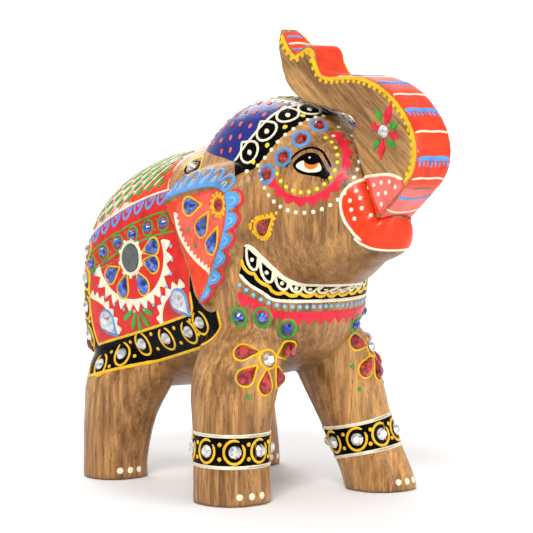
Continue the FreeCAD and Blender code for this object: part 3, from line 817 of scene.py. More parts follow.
def leaf(piece, colour, chart, a, b, way_a, way_b, half, height=0.34, base=0.1):
    """A pointed stroke centred on a, b and reaching way_a, way_b each way."""
    reach = math.hypot(way_a, way_b)
    c, s = way_a / reach, way_b / reach
    shape = []
    for k in range(12):
        turn = 2 * math.pi * k / 12
        x = reach * math.cos(turn)
        y = half * math.sin(turn) * (1.0 - 0.35 * math.cos(turn))
        shape.append((a + x * c - y * s, b + x * s + y * c))
    fill(piece, colour, chart, shape, base + height, 1.2)


# ------------------------------------------------------------------ blanket over the back
BACK_AXIS = 92.0
SPINE_EDGE = 79.0            # degrees up at the edge of the stripe along the spine


def back_height(y):
    """Degrees up round the lengthwise line at which the scallop line of the flank runs."""
    spot, normal = side_chart(-1)(y, row_height(y) + SCALLOP_LIFT)
    return math.degrees(math.atan2(spot.z - BACK_AXIS, -spot.x))


BACK_START = 27.5
BACK_END = 88.0
BACK_PATCH = ((BACK_START + 1, 47.0), (38.0, 42.5), (50.0, 40.5), (60.0, 40.0), (52.0, 46.0), (42.0, 53.0),
              (36.0, 62.0), (31.5, 66.0), (30.5, 56.0))
LEAF_ROWS = 7


def blanket_back(side):
    name = f"back_{WORDS[side]}"
    over = around_chart(side, BACK_AXIS)
    stations = [BACK_START + (BACK_END - BACK_START) * k / 14 for k in range(15)]
    lower = [(y, back_height(y)) for y in stations]
    front = [(BACK_START + 3.0, 55.0), (30.0, 66.0)]
    upper = [(y, SPINE_EDGE) for y in reversed(stations)]
    fill(f"{name}_ground", "blush", over, lower + upper + list(reversed(front)), 0.16, 2.0, 2.4)
    fill(f"{name}_patch", "orange_red", over, BACK_PATCH, 0.20, 2.0)
    line(f"{name}_edge", "orange", over, [(y, SPINE_EDGE) for y in stations], 1.6, 0.4, base=0.05)
    line(f"{name}_edge", "cream", over, [(y, SPINE_EDGE - 3.6) for y in stations], 1.0, 0.34, base=0.1)
    # staggered rows of green leaves, a cream and a coral stroke beside each
    for row in range(LEAF_ROWS):
        for k in range(9):
            y = 34.5 + 6.6 * k + (3.3 if row % 2 else 0.0)
            if y > BACK_END - 3.5:
                continue
            low = back_height(y) + 5.0
            degrees = low + (SPINE_EDGE - 8.0 - low) * row / (LEAF_ROWS - 1)
            leaf(f"{name}_leaves", "green", over, y, degrees, -2.0, 2.3, 0.95, 0.34, 0.12)
            leaf(f"{name}_strokes", "cream", over, y + 2.4, degrees + 1.2, -2.0, 2.6, 0.5, 0.30, 0.12)
            leaf(f"{name}_strokes", "coral", over, y - 1.9, degrees - 1.2, -1.6, 2.0, 0.45, 0.28, 0.12)


SPINE_FRONT = 30.0
SPINE_REAR = 84.0


def spine_stripe():
    top = top_chart()
    count = 12
    ys = [SPINE_FRONT + (SPINE_REAR - SPINE_FRONT) * k / count for k in range(count + 1)]
    half = 7.6
    fill("spine_stripe", "orange_red", top, strip_of(half, ys), 0.14, 2.0)
    for side in (-1, 1):
        line("spine_stripe", "yellow", top, [(side * (half - 1.2), y) for y in ys], 1.2, 0.4, base=0.1)
    for chart, reach in stone_charts("spine_crystals"):
        ring_round("spine_stripe", "yellow", chart, 3.9, 1.1, 0.45, base=0.1)
    found = by_y(stones_of("spine_crystals"))
    for first, second in zip(found, found[1:]):
        y = (first[0].y + second[0].y) / 2
        for x in (-2.2, 2.2):
            dot("spine_stripe", "cream", top, x, y, 0.85, 0.45, base=0.1)


# ------------------------------------------------------------------ ears
EAR_BASE = ((22.6, 124.6), (10.0, 128.4), (-4.0, 130.8), (-14.0, 131.2), (-20.6, 128.6))
EAR_FRONT = ((-20.0, 128.0), (-21.2, 121.0), (-18.4, 109.5), (-13.2, 98.0), (-8.2, 88.8), (-3.6, 82.6))
EAR_OUTSIDE = ((-25.4, 131.0), (-26.0, 123.0), (-23.4, 112.5), (-17.6, 100.0), (-11.6, 89.4), (-5.2, 81.2))
EAR_RED = ((20.4, 121.8), (12.0, 125.0), (1.0, 127.4), (-12.0, 129.2), (-17.6, 127.4), (-19.4, 121.0),
           (-18.4, 114.6), (-15.6, 107.5), (-11.0, 97.8), (-6.2, 89.0), (-2.2, 83.6), (0.4, 85.0), (5.0, 94.2),
           (10.8, 105.2), (16.2, 114.6))
EAR_CORAL = ((12.5, 123.0), (0.0, 126.4), (-12.6, 128.0), (-17.0, 124.5), (-17.0, 115.0), (-13.0, 105.0),
             (-9.6, 97.0), (-3.0, 99.4), (4.0, 103.6), (9.4, 109.0), (13.6, 117.0))
EAR_TOOTHED = ((15.4, 119.2), (13.4, 112.5), (9.4, 106.4), (3.8, 101.4), (-3.0, 97.4), (-9.6, 94.6))
EAR_CREST = ((28.0, 130.0), (19.0, 134.6), (6.0, 137.6), (-6.0, 138.8), (-17.0, 137.4), (-24.0, 132.0))
EAR_ARCHES = 6
EAR_SCALLOPS = 6


def ladder(near, far, step, steps):
    """Places between two lines, by share of one step along them and share of the way across."""
    def place(share, lift):
        there = min(max((step + share) / steps, 0.0), 1.0)
        low = near[int(there * (len(near) - 1))]
        high = far[int(there * (len(far) - 1))]
        return (low[0] + (high[0] - low[0]) * lift, low[1] + (high[1] - low[1]) * lift)
    return place


def ear(side):
    name = f"ear_{WORDS[side]}"
    face = side_chart(side)
    fill(f"{name}_field", "orange_red", face, along(EAR_RED, 1.6, True), 0.12)
    fill(f"{name}_field", "coral", face, along(EAR_CORAL, 1.6, True), 0.18)
    teeth = frill(list(reversed(EAR_TOOTHED)), 2.9, 2.0, 0.5)
    toothed = there_and_back(offset_line(list(reversed(EAR_TOOTHED)), -0.5), teeth)
    fill(f"{name}_teeth", "cream", face, toothed, 0.34, 1.4)
    line(f"{name}_edge", "sky", face, EAR_FRONT, 1.0, 0.36)
    line(f"{name}_edge", "sky", face, EAR_BASE, 1.8, 0.40)
    # arches on the sloping band along the top, each with a smaller one inside
    base = along(EAR_BASE, 0.5)
    crest = along(EAR_CREST, 0.5)
    for k in range(EAR_ARCHES):
        between = ladder(base, crest, k, EAR_ARCHES)
        for reach, deep, width, colour in ((0.41, 0.86, 1.5, "sky"), (0.13, 0.44, 0.8, "pale_blue")):
            shape = [between(0.5 + reach * math.cos(t), deep * max(0.0, math.sin(t)) ** 0.8)
                     for t in half_turn(10)]
            line(f"{name}_arches", colour, face, shape, width, 0.42)
    # scallops down the front edge, each with a small loop, and a crimson line outside them
    front = along(EAR_FRONT, 0.5)
    outer = along(EAR_OUTSIDE, 0.5)
    for k in range(EAR_SCALLOPS):
        out = ladder(front, outer, k, EAR_SCALLOPS)
        lobe = [out(0.5 - 0.47 * math.cos(t), 0.72 * math.sin(t)) for t in half_turn(10)]
        fill(f"{name}_scallops", "sky", face, lobe, 0.26, 1.3)
        loop = [out(0.5 - 0.20 * math.cos(t), 0.16 + 0.34 * math.sin(t)) for t in half_turn(6)]
        line(f"{name}_scallops", "pale_blue", face, loop, 0.7, base=0.2)
        rim = [out(0.5 - 0.50 * math.cos(t), 0.38 + 0.50 * math.sin(t)) for t in half_turn(10)]
        line(f"{name}_rim", "crimson", face, rim, 1.2, 0.42, base=0.1)
    for chart, reach in stone_charts(f"ear_pears_{WORDS[side]}"):
        pear_outline(f"{name}_stones", "yellow", chart, PEAR, 0.5, 1.05, 0.55, base=0.1, point=1.4)
    for chart, reach in stone_charts(f"ear_round_{WORDS[side]}"):
        ring_round(f"{name}_stones", "yellow", chart, reach + 1.3, 1.3, 0.5, base=0.1)
        dots_round(f"{name}_stones", "yellow", chart, range(0, 360, 30), (reach + 2.5, reach + 2.5),
                   height=0.5, base=0.1)
    for y, z in ((5.6, 112.6), (1.0, 105.6)):
        dot(f"{name}_stones", "green", face, y, z, 0.9, 0.5, base=0.1)


# ------------------------------------------------------------------ head
EYE = Vector((22.5, -48.0, 141.4))
EYE_OUTWARD = Vector((0.84, -0.39, 0.38))
EYE_FORWARD = 2.4            # how far the painted eye lies ahead of the middle of its ring
EYE_DROP = 1.7               # and how far below it
EYE_BLACK = ((-7.4, -0.4), (-5.4, 3.0), (-2.2, 5.2), (1.4, 5.2), (4.2, 2.8), (6.8, -1.2), (8.6, -3.2),
             (7.0, -5.6), (4.4, -4.8), (0.6, -4.4), (-4.0, -3.6))
EYE_WHITE = ((-5.9, -0.8), (-4.0, 1.4), (0.0, 1.6), (3.6, 1.0), (4.9, -2.0), (1.4, -3.2), (-2.6, -2.8))
PUPIL = ((-3.0, 2.0), (-1.8, 0.6), (0.4, 0.0), (2.6, 0.6), (3.8, 2.0), (2.8, 4.4), (0.4, 5.0), (-2.2, 4.2))
BROW_LINE = ((-10.4, -1.4), (-8.6, 2.4), (-5.0, 6.2), (-0.6, 7.8), (3.6, 6.4), (6.6, 2.8), (8.6, -0.2))


def head_side(side):
    """A chart round the eye: distance forward and up."""
    centre = Vector((side * EYE.x, EYE.y, EYE.z))
    normal = Vector((side * EYE_OUTWARD.x, EYE_OUTWARD.y, EYE_OUTWARD.z)).normalized()
    spot, facing = body_skin.nearest(centre)
    flat = decal_chart(spot, normal, UP)
    forward = 1.0 if flat(1.0, 0.0)[0].y < flat(-1.0, 0.0)[0].y else -1.0
    return lambda a, b: flat(a * forward, b)


def polar(degrees, radius):
    turn = math.radians(degrees)
    return radius * math.cos(turn), radius * math.sin(turn)


def eye(side):
    name = f"eye_{WORDS[side]}"
    face = head_side(side)

    def lids(a, b):
        return face(a + EYE_FORWARD, b - EYE_DROP)

    fill(name, "black", lids, along(EYE_BLACK, 1.0, True), 0.14)
    fill(name, "cream", lids, along(EYE_WHITE, 0.8, True), 0.22, 1.0)
    fill(name, "orange", lids, circle(0.4, 1.0, 3.1, 3.0, count=18), 0.32, 1.0)
    fill(name, "black", lids, along(PUPIL, 0.8, True), 0.40, 1.0)
    line(name, "black", lids, BROW_LINE, height=0.36)
    for a, b in ((5.0, -5.2), (6.2, -5.6), (7.6, -5.4)):
        line(name, "black", lids, [(a, b + 0.6), (a + 0.9, b - 1.6)], 0.5, 0.26)
    dot(name, "cream", lids, -0.6, 3.0, 0.5, 0.3, base=0.38)
    # yellow dots, crimson ring with points, cream dots
    for k in range(15):
        degrees = 205.0 + (425.0 - 205.0) * k / 14
        dot(name, "lemon", face, *polar(degrees, 13.0), 0.95, 0.5)
    arc = [polar(203.0 + (426.0 - 203.0) * k / 24, 14.9) for k in range(25)]
    teeth = frill(arc, 4.9, -2.1, -1.7)
    fill(f"{name}_ring", "crimson", face, there_and_back(offset_line(arc, 0.2), teeth), 0.24, 1.3)
    for k in range(24):
        degrees = 190.0 + (430.0 - 190.0) * k / 23
        dot(name, "cream", face, *polar(degrees, 20.7), 0.95, 0.5)


CROWN_AXIS = 125.0
BAND_LOW = ((-20.5, 15.0), (-23.5, 20.4), (-26.0, 24.0), (-31.0, 34.5), (-34.5, 48.0), (-36.8, 57.0),
            (-37.6, 68.0), (-38.2, 78.0), (-38.6, 90.0))
BAND_HIGH = ((-13.5, 26.5), (-15.4, 31.8), (-20.7, 47.0), (-24.1, 63.0), (-26.2, 73.0),
             (-27.8, 83.0), (-28.4, 90.0))
MIDLINE = ((-27.8, 81.5), (-20.0, 78.0), (-9.0, 74.0), (3.0, 70.0), (13.0, 66.0), (20.0, 62.0))
CAP_REAR = ((20.0, 62.0), (19.0, 50.0), (14.0, 40.0), (4.0, 33.0), (-6.0, 29.5), (-13.5, 26.5))


def head_cloth(side):
    name = f"cap_{WORDS[side]}"
    crown = around_chart(side, CROWN_AXIS)
    low = along(BAND_LOW, 1.6)
    high = along(BAND_HIGH, 1.6)
    fill(f"{name}_band", "black", crown, there_and_back(low, high), 0.14, 2.0)
    cap = along(BAND_HIGH[:-1], 2.0) + along(MIDLINE, 2.0)[1:] + along(CAP_REAR, 2.0)[1:-1]
    fill(f"{name}_ground", "navy", crown, cap, 0.12, 2.2)
    line(f"{name}_edge", "cream", crown, MIDLINE, 1.5, 0.42, base=0.05)
    beads = along(MIDLINE, 3.4)
    for y, d in beads[1:-1]:
        dot(f"{name}_edge", "cream", crown, y - 0.2, d - 2.6, 1.15, 0.42, base=0.05)
    line(f"{name}_edge", "cream", crown, BAND_HIGH, 1.3, 0.40, base=0.1)
    # teardrops of the black band, with cream outlines and a dot in each
    for y, d in ((-20.0, 35.0), (-25.0, 50.5), (-28.7, 66.5), (-31.6, 81.0)):
        spot, normal = crown(y, d)
        ahead = crown(y - 1.0, d)[0] - spot
        upward = crown(y, d + 2.0)[0] - spot
        chart = decal_chart(spot, normal, upward * 0.55 - ahead.normalized() * upward.length * 0.85)
        shape = drop(11.8, 4.7)
        fill(f"{name}_drops", "black", chart, shape, 0.2, 1.6)
        line(f"{name}_drops", "cream", chart, shape, 1.15, 0.42, closed=True, smooth=False, base=0.12)
        dot(f"{name}_drops", "cream", chart, 0.0, -1.6, 1.1, 0.5, base=0.14, longer=1.4)
    for y, d in ((-24.6, 27.5), (-29.6, 40.0), (-33.4, 55.5), (-35.0, 70.5)):
        dot(f"{name}_drops", "lemon", crown, y, d, 1.15, 0.55, base=0.1)
    for y, d in along(BAND_LOW[1:], 6.4)[:-1]:
        dot(f"{name}_edge", "cream", crown, y - 0.3, d - 0.6, 0.95, 0.55, base=0.05)
    # orange dots scattered on the blue
    outline = np.array(cap)
    for row in range(7):
        for k in range(5):
            y = -22.0 + 6.4 * row + (2.6 if k % 2 else 0.0)
            d = 34.0 + 9.0 * k + random.uniform(-1.2, 1.2)
            near = np.abs(outline - np.array((y, d))).max(axis=1).min()
            if inside(np.array([(y, d)]), cap)[0] and near > 1.7:
                dot(f"{name}_dots", "coral", crown, y + random.uniform(-0.5, 0.5), d, 0.85, 0.45, base=0.1,
                    longer=1.5)
    # brow stones in blue rings
    for chart, reach in stone_charts(f"brow_rubies_{WORDS[side]}", Vector((0.0, 0.3, 1.0))):
        ring_round(f"brow_{WORDS[side]}", "sky", chart, reach + 1.05, 1.4, 0.5, longer=1.08)
    for chart, reach in stone_charts(f"cheek_ruby_{WORDS[side]}"):
        shape = drop(*RUBY, 0.6, 1.2)
        line(f"cheek_{WORDS[side]}", "yellow", chart, shape, 1.3, 0.5, closed=True, smooth=False)
        for a, b in along(drop(*RUBY, 1.6, 1.4), 2.5, True, False):
            dot(f"cheek_{WORDS[side]}", "yellow", chart, a, b, 0.8, 0.46)


def crown_middle():
    top = top_chart()
    for chart, reach in stone_charts("crown_crystal"):
        ring_round("crown_middle", "yellow", chart, 4.1, 1.3, 0.5)
        dots_round("crown_middle", "cream", chart, range(0, 360, 36), (6.3, 6.3), radius=0.8)
    for y in (-24.0, -18.5, -13.0, -7.5, -2.0):
        leaf("crown_middle", "green", top, -1.6, y, 1.1, 2.1, 0.8)
        leaf("crown_middle", "green", top, 1.6, y, -1.1, 2.1, 0.8)
        dot("crown_middle", "yellow", top, 0.0, y + 2.6, 0.9, 0.45)


def both_ways(points):
    """The points of one side with their mirror images, from one end to the other."""
    return [(-a, b) for a, b in reversed(points[1:])] + list(points)


# ------------------------------------------------------------------ mouth
MOUTH_EDGE = ((-71.5, 109.6), (-67.0, 112.6), (-64.2, 116.0), (-62.6, 121.0), (-62.4, 127.0), (-64.6, 131.8),
              (-69.0, 134.6), (-76.0, 135.6), (-84.0, 136.0), (-91.5, 134.2))


MOUTH_DOTS = ((-66.6, 129.2), (-65.2, 125.4), (-68.4, 126.4), (-66.0, 121.8), (-69.6, 122.4), (-67.4, 118.2),
              (-71.4, 126.0), (-72.6, 119.6), (-71.0, 130.6), (-75.2, 131.8), (-79.4, 132.8), (-84.0, 133.2),
              (-77.8, 128.2), (-82.0, 128.8), (-79.6, 124.2), (-87.4, 131.2), (-74.4, 122.6))
MOUTH_FACET = ((-72.0, 134.6), (-84.0, 135.6), (-91.0, 133.4), (-91.6, 131.2), (-84.2, 124.9), (-79.2, 120.6),
               (-76.6, 124.0))
MOUTH_FRONT = ((-92.2, 131.4), (-84.6, 124.8), (-77.2, 118.8), (-75.5, 115.0), (-74.0, 108.8))


def mouth(side):
    name = f"mouth_{WORDS[side]}"
    face = side_chart(side, both_skin)
    edge = along(MOUTH_EDGE, 1.2)
    fill(f"{name}_disc", "orange_red", face, edge + list(MOUTH_FRONT), 0.16, 1.4)
    # painted highlight: the facet is coated pink to stand in for reflection on its red paint
    fill(f"{name}_disc", "rose", face, along(MOUTH_FACET, 1.4, True, False), 0.24, 1.6)
    line(f"{name}_outline", "cream", face, MOUTH_EDGE, 1.4, 0.46, base=0.05)
    for y, z in MOUTH_DOTS:
        dot(f"{name}_dots", "cream", face, y, z, 0.85, 0.42, base=0.18, longer=1.15)


LIP_EDGE = ((0.0, 105.6), (25.0, 105.8), (45.0, 106.6), (62.0, 108.4), (74.0, 110.4))


def lip():
    """The lower lip's rounded front."""
    front = upright_chart(0.0, -64.0, start=24.0)
    low = along(both_ways(LIP_EDGE), 3.0)
    top = [(degrees, 118.6) for degrees in range(74, -75, -4)]
    fill("lip_paint", "orange_red", front, low + top, 0.22, 4.0, 1.2)
    line("lip_paint", "cream", front, both_ways(LIP_EDGE), 1.2, 0.5)


# ------------------------------------------------------------------ trunk
TRUNK_MIDDLE = (-65.0, 145.0)
TRUNK_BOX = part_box("carved_trunk")
TRUNK_HALF = (TRUNK_BOX[1].x - TRUNK_BOX[0].x) / 2 / MM


def bend_chart():
    """Distance across, and degrees up from straight ahead round the middle of the trunk's bend."""
    def place(x, degrees):
        turn = math.radians(degrees)
        middle = Vector((x, *TRUNK_MIDDLE))
        way = Vector((0.0, -math.cos(turn), math.sin(turn)))
        return trunk_skin.cast(middle + way * 48.0, middle, 24.0, middle + way * 33.0)
    return place


def under_chart():
    """x, and the share of the way down the sloping lower end of the trunk."""
    top = Vector((0.0, -92.5, 131.0))
    low = Vector((0.0, -76.5, 118.0))
    outward = Vector((0.0, -0.63, -0.776))

    def place(x, share):
        foot = top.lerp(low, share) + Vector((x, 0.0, 0.0))
        return trunk_skin.cast(foot + outward * 5.0, foot, 8.0, foot)
    return place


STRIPES = ((112.0, "cream"), (98.0, "sky"), (85.0, "cream"), (69.0, "sky"), (48.0, "cream"), (31.0, "sky"),
           (13.0, "cream"), (-5.0, "sky"), (-19.0, "cream"))


TIP = ((-6.6, 190.0), (-5.0, 194.0), (-3.0, 196.2), (3.0, 196.2), (5.0, 194.0), (6.6, 190.0))
TIP_HOLLOW = ((7.2, -33.0), (7.2, -29.0), (7.0, -25.0), (6.8, -21.0), (6.0, -17.5), (4.4, -14.5))
TIP_STRIPES = ((4.4, -15.4, "sky"), (5.8, -18.2, "cream"), (6.4, -21.0, "sky"), (6.6, -27.0, "cream"),
               (6.8, -31.0, "sky"))
BLOCK = ((-7.4, 177.0), (7.4, 177.0), (7.2, 187.0), (5.0, 188.2), (-5.0, 188.2), (-7.2, 187.0))


def across_trunk(half, level, waves):
    """A slightly wavy line from one side of the trunk to the other."""
    places = (-half + 0.3, -half / 2, 0.0, half / 2, half - 0.3)
    return [(x, level + wave) for x, wave in zip(places, waves)]


def trunk_front():
    bend = bend_chart()
    half = TRUNK_HALF - 0.35
    ups = [-27.5 + (122.0 + 27.5) * k / 50 for k in range(51)]
    fill("trunk_front", "orange_red", bend, strip_of(half, ups), 0.18, 2.0, 2.6)
    # sky stripes have a fringe of short strokes below
    for degrees, colour in STRIPES:
        run = across_trunk(half, degrees, (0.0, 1.0, 0.6, 0.9, 0.0))
        if colour == "cream":
            line("trunk_front", "cream", bend, run, 1.0, 0.42, base=0.12)
            continue
        line("trunk_front", "sky", bend, run, 2.0, 0.46, base=0.12)
        for k in range(8):
            x = -half + 1.5 + (2 * half - 3.0) * k / 7
            stroke = [(x, degrees - 0.6), (x + 0.4, degrees - 4.6 + random.uniform(-0.8, 0.6))]
            line("trunk_front", "sky", bend, stroke, 1.0, 0.40, base=0.12)
    under = under_chart()
    whole = [(-half, 0.0), (half, 0.0), (half, 0.97), (-half, 0.97)]
    # painted highlight: the lower end is coated pink to stand in for reflection on its red paint
    fill("trunk_lower_end", "rose", under, whole, 0.18, 2.0, 0.1)
    for share, colour, width in ((0.30, "sky", 1.5), (0.72, "cream", 1.0)):
        run = across_trunk(half, share, (-0.05, 0.03, 0.06, 0.03, -0.05))
        placed = [under(x, down) for x, down in along(run, 0.8)]
        sweep("trunk_lower_end", colour, placed, width, 0.42, 0.12)
    # the saddle behind the bend and the top of the block, seen from above
    above = top_chart(trunk_skin)
    for wide, rear, front in ((half, -52.0, -38.4), (7.4, -36.6, -32.6)):
        patch = [(-wide, front), (wide, front), (wide, rear), (-wide, rear)]
        fill("trunk_saddle", "orange_red", above, along(patch, 1.6, True, False), 0.17, 1.6)
    # the fingertip's hollow side and the front of the block below it
    ahead = square_chart(1, -140.0, 20.0, trunk_skin)
    fill("trunk_tip", "orange_red", ahead, TIP, 0.16, 1.6)
    hollow = there_and_back([(-x, y) for x, y in TIP_HOLLOW], TIP_HOLLOW)
    fill("trunk_tip", "orange_red", above, hollow, 0.16, 1.6)
    for x, y, colour in TIP_STRIPES:
        line("trunk_tip", colour, above, [(-x, y), (0.0, y + 0.5), (x, y)], 1.2, 0.4, base=0.12)
    fill("trunk_tip", "orange_red", ahead, along(BLOCK, 1.6, True, False), 0.16, 1.6)


TRUNK_RIM = ((-13.0, 193.0), (-16.8, 189.0), (-21.5, 184.6), (-25.6, 182.6), (-29.6, 184.6), (-34.2, 185.6),
             (-36.0, 181.2), (-40.6, 175.4), (-47.0, 173.4), (-56.0, 173.6), (-65.0, 173.2), (-74.0, 170.8),
             (-82.4, 166.6), (-89.6, 160.4), (-95.0, 153.2), (-97.0, 145.0), (-95.4, 138.0), (-91.6, 134.0))
FLOWER_LEAVES = ((20.0, 6.6), (112.0, 7.4), (232.0, 6.6), (318.0, 7.0))
FLOWER_PETALS = ((68.0, 10.0), (158.0, 6.4), (262.0, 9.4), (345.0, 7.6))


def trunk_side(side):
    name = f"trunk_{WORDS[side]}"
    face = side_chart(side, trunk_skin)
    rim = offset_line(TRUNK_RIM, -1.1)
    line(f"{name}_rim", "yellow", face, rim, 1.6, 0.42)
    path = along(rim, 3.3)
    ways = np.gradient(np.array(path), axis=0)
    for (y, z), way in zip(path[1:-1], ways[1:-1]):
        way = way / np.linalg.norm(way)
        dot(f"{name}_rim", "yellow", face, y - way[1] * 1.3, z + way[0] * 1.3, 0.95, 0.42)
    for middle, normal, way, reach in stones_of(f"trunk_crystal_{WORDS[side]}"):
        for degrees, far in FLOWER_LEAVES:
            turn = math.radians(degrees)
            a, b = -math.cos(turn), math.sin(turn)
            leaf(f"{name}_flower", "green", face, middle.y + a * far, middle.z + b * far, a * 2.6, b * 2.6, 1.1)
        for degrees, far in FLOWER_PETALS:
            turn = math.radians(degrees)
            a, b = -math.cos(turn), math.sin(turn)
            start = reach + 0.5
            tip = far + 2.0
            shape = [(start, -0.7), (start + 1.8, -1.0), (start + 3.0, -2.3), (far - 0.8, -1.5), (tip, 0.0),
                     (far - 0.8, 1.4), (start + 3.0, 2.0), (start + 1.8, 0.9), (start, 0.7)]
            fill(f"{name}_flower", "crimson", face,
                 [(middle.y + x * a - h * b, middle.z + x * b + h * a) for x, h in shape], 0.42, 1.3)


JOINT = ((-62.4, 150.0), (-64.0, 146.0), (-66.4, 140.6), (-68.4, 136.0))


def putty(side):
    """Filler smeared along the joint of trunk and face."""
    face = side_chart(side, both_skin)
    smear = there_and_back(offset_line(JOINT, 1.3), offset_line(JOINT, -1.3))
    fill(f"joint_{WORDS[side]}", "putty", face, smear, 0.14)


# ------------------------------------------------------------------ neck and chest
NECK_TOP = ((0.0, 90.2), (15.5, 90.2), (28.0, 90.6), (37.0, 93.0), (47.0, 98.8), (57.0, 104.6), (62.0, 106.4))
NECK_LOW = ((0.0, 83.2), (12.0, 83.2), (34.6, 83.6), (44.0, 84.4), (50.0, 87.0), (59.5, 90.6), (66.0, 94.6))
NECK_YELLOW = ((0.0, 85.6), (12.0, 85.8), (34.6, 86.6), (44.0, 88.2), (50.0, 91.4), (59.5, 96.0),
               (65.0, 99.6))
BEAD_LINE = ((0.0, 80.9), (20.0, 80.9), (34.5, 81.2), (43.0, 82.2), (52.0, 84.4), (59.0, 87.2), (66.0, 90.0))
CHEST_TOP = ((0.0, 78.8), (12.0, 78.8), (36.0, 79.2), (47.0, 81.2), (57.0, 84.6), (67.0, 87.2))
NECK_SPREAD = 62.0           # degrees each way over which the loops hang
NECK_LOOPS = 13


def level_at(points, degrees):
    """Height at one place of a line given for one side, which is the same on the other."""
    return float(np.interp(abs(degrees), [p[0] for p in points], [p[1] for p in points]))


def garland():
    throat = upright_chart(0.0, -5.0)
    top = along(both_ways(NECK_TOP), 2.0)
    low = along(both_ways(NECK_LOW), 2.0)
    fill("garland_band", "black", throat, there_and_back(top, low), 0.2, 2.4, 1.3)
    line("garland_lines", "cream", throat, both_ways(NECK_TOP), 2.2, 0.5)
    line("garland_lines", "cream", throat, both_ways(NECK_LOW), 1.5, 0.46)
    scallops = frill(both_ways(NECK_YELLOW), 10.5, -2.0, 1.4, "scallop")
    line("garland_lines", "yellow", throat, scallops[::3], 1.5, 0.48, base=0.12)
    # cream loops hanging from the top line, a dot in each
    pitch = 2 * NECK_SPREAD / NECK_LOOPS
    for k in range(NECK_LOOPS):
        centre = -NECK_SPREAD + pitch * (k + 0.5)
        loop = []
        for turn in half_turn(8):
            degrees = centre + 0.43 * pitch * math.cos(turn)
            high = level_at(NECK_TOP, degrees)
            drop_by = (level_at(NECK_YELLOW, degrees) - high) * 0.80 * max(0.0, math.sin(turn)) ** 0.6
            loop.append((degrees, high + drop_by))
        line("garland_loops", "cream", throat, loop, 1.25, 0.46, base=0.14)
        high = level_at(NECK_TOP, centre)
        low_dot = high + (level_at(NECK_YELLOW, centre) - high) * 0.42
        dot("garland_loops", "cream", throat, centre, low_dot, 0.9, 0.44, base=0.16)
    for a, b in along(both_ways(BEAD_LINE), 5.2):
        dot("chest_beads", "pale_blue", throat, a, b, 0.95, 0.55)
    edge = both_ways(CHEST_TOP)
    teeth = frill(edge, 9.0, -3.0, -2.6)
    fill("chest_band", "crimson", throat, there_and_back(along(edge, 1.6), teeth[::2]), 0.24, 2.4, 1.4)
    for side in (-1, 1):
        for chart, reach in stone_charts(f"chest_rounds_{WORDS[side]}", UP):
            ring_round(f"chest_{WORDS[side]}", "green", chart, reach + 1.2, 1.3, 0.5, longer=1.10)
        for chart, reach in stone_charts(f"neck_crystal_{WORDS[side]}", UP):
            ring_round(f"neck_{WORDS[side]}", "black", chart, reach + 1.0, 1.0, 0.4)
            crescent = circle(0.6, 0.4, reach + 2.6, reach + 3.2, -40.0, 200.0, 14)
            line(f"neck_{WORDS[side]}", "lemon", chart, crescent, height=0.45)


# ------------------------------------------------------------------ legs
ANKLET = 22.5                # height of the stones of the band
LEG_MIDDLES = {-1: (-34.7, -15.8), 1: (31.8, -23.3)}
ANKLET_HALF = 6.4
ANKLET_TILTS = {-1: (0.0, 0.0), 1: (0.13, -0.17)}     # rise of the band for each millimetre of x and y
LEG_CLEAR = 27.0             # just outside one leg and clear of the next


def foreleg(side):
    name = f"foreleg_{WORDS[side]}"
    x, y = LEG_MIDDLES[side]
    tilt = ANKLET_TILTS[side]
    leg = upright_chart(x, y, side, tilt=tilt, start=LEG_CLEAR)
    turns = [360.0 * k / 40 for k in range(41)]
    low = [(d, ANKLET - ANKLET_HALF) for d in turns]
    high = [(d, ANKLET + ANKLET_HALF) for d in reversed(turns)]
    fill(f"{name}_band", "black", leg, low + high, 0.2, 4.0, 1.6)
    for level in (-ANKLET_HALF, ANKLET_HALF):
        line(f"{name}_band", "cream", leg, [(d, ANKLET + level) for d in turns[:-1]], 1.5, 0.45, closed=True)
    found = stones_of(f"anklet_crystals_{WORDS[side]}")
    for chart, reach in stone_charts(f"anklet_crystals_{WORDS[side]}", UP):
        ring = circle(-0.3, 0.0, reach + 1.5, reach + 2.1, 60.0, 400.0, 20)
        line(f"{name}_rings", "yellow", chart, ring, 1.2, 0.48, base=0.1)
    angles = sorted(math.degrees(math.atan2((s[0].x - x) * side, -(s[0].y - y))) % 360.0 for s in found)
    for first, second in zip(angles, angles[1:] + [angles[0] + 360.0]):
        for level in (-3.0, 3.0):
            dot(f"{name}_rings", "yellow", leg, (first + second) / 2, ANKLET + level, 0.95, 0.5, base=0.1)
    for chart, reach in stone_charts(f"foreleg_rubies_{WORDS[side]}"):
        pear_outline(f"{name}_flower", "yellow", chart, RUBY, 0.7, 1.0, 0.48, point=0.0)
    for chart, reach in stone_charts(f"foreleg_crystal_{WORDS[side]}", UP):
        ring_round(f"{name}_flower", "yellow", chart, reach + 1.3, 1.1, 0.5)
        for degrees, far in ((202.0, 12.6), (236.0, 17.8), (300.0, 18.5), (334.0, 13.4)):
            dot(f"{name}_flower", "green", chart, *polar(degrees, far), 1.0, 0.5)


SOLES = {"foreleg_right": (-35.0, -16.5, -1), "foreleg_left": (37.0, -30.0, 1),
         "hindleg_right": (-31.0, 71.0, -1), "hindleg_left": (37.5, 60.5, 1)}


def toes():
    for name, (x, y, side) in SOLES.items():
        foot = upright_chart(x, y, side, start=LEG_CLEAR)
        for degrees in (-12.0, 8.0, 28.0):
            dot(f"toes_{name}", "cream", foot, degrees, 4.0, 1.5, 0.5)


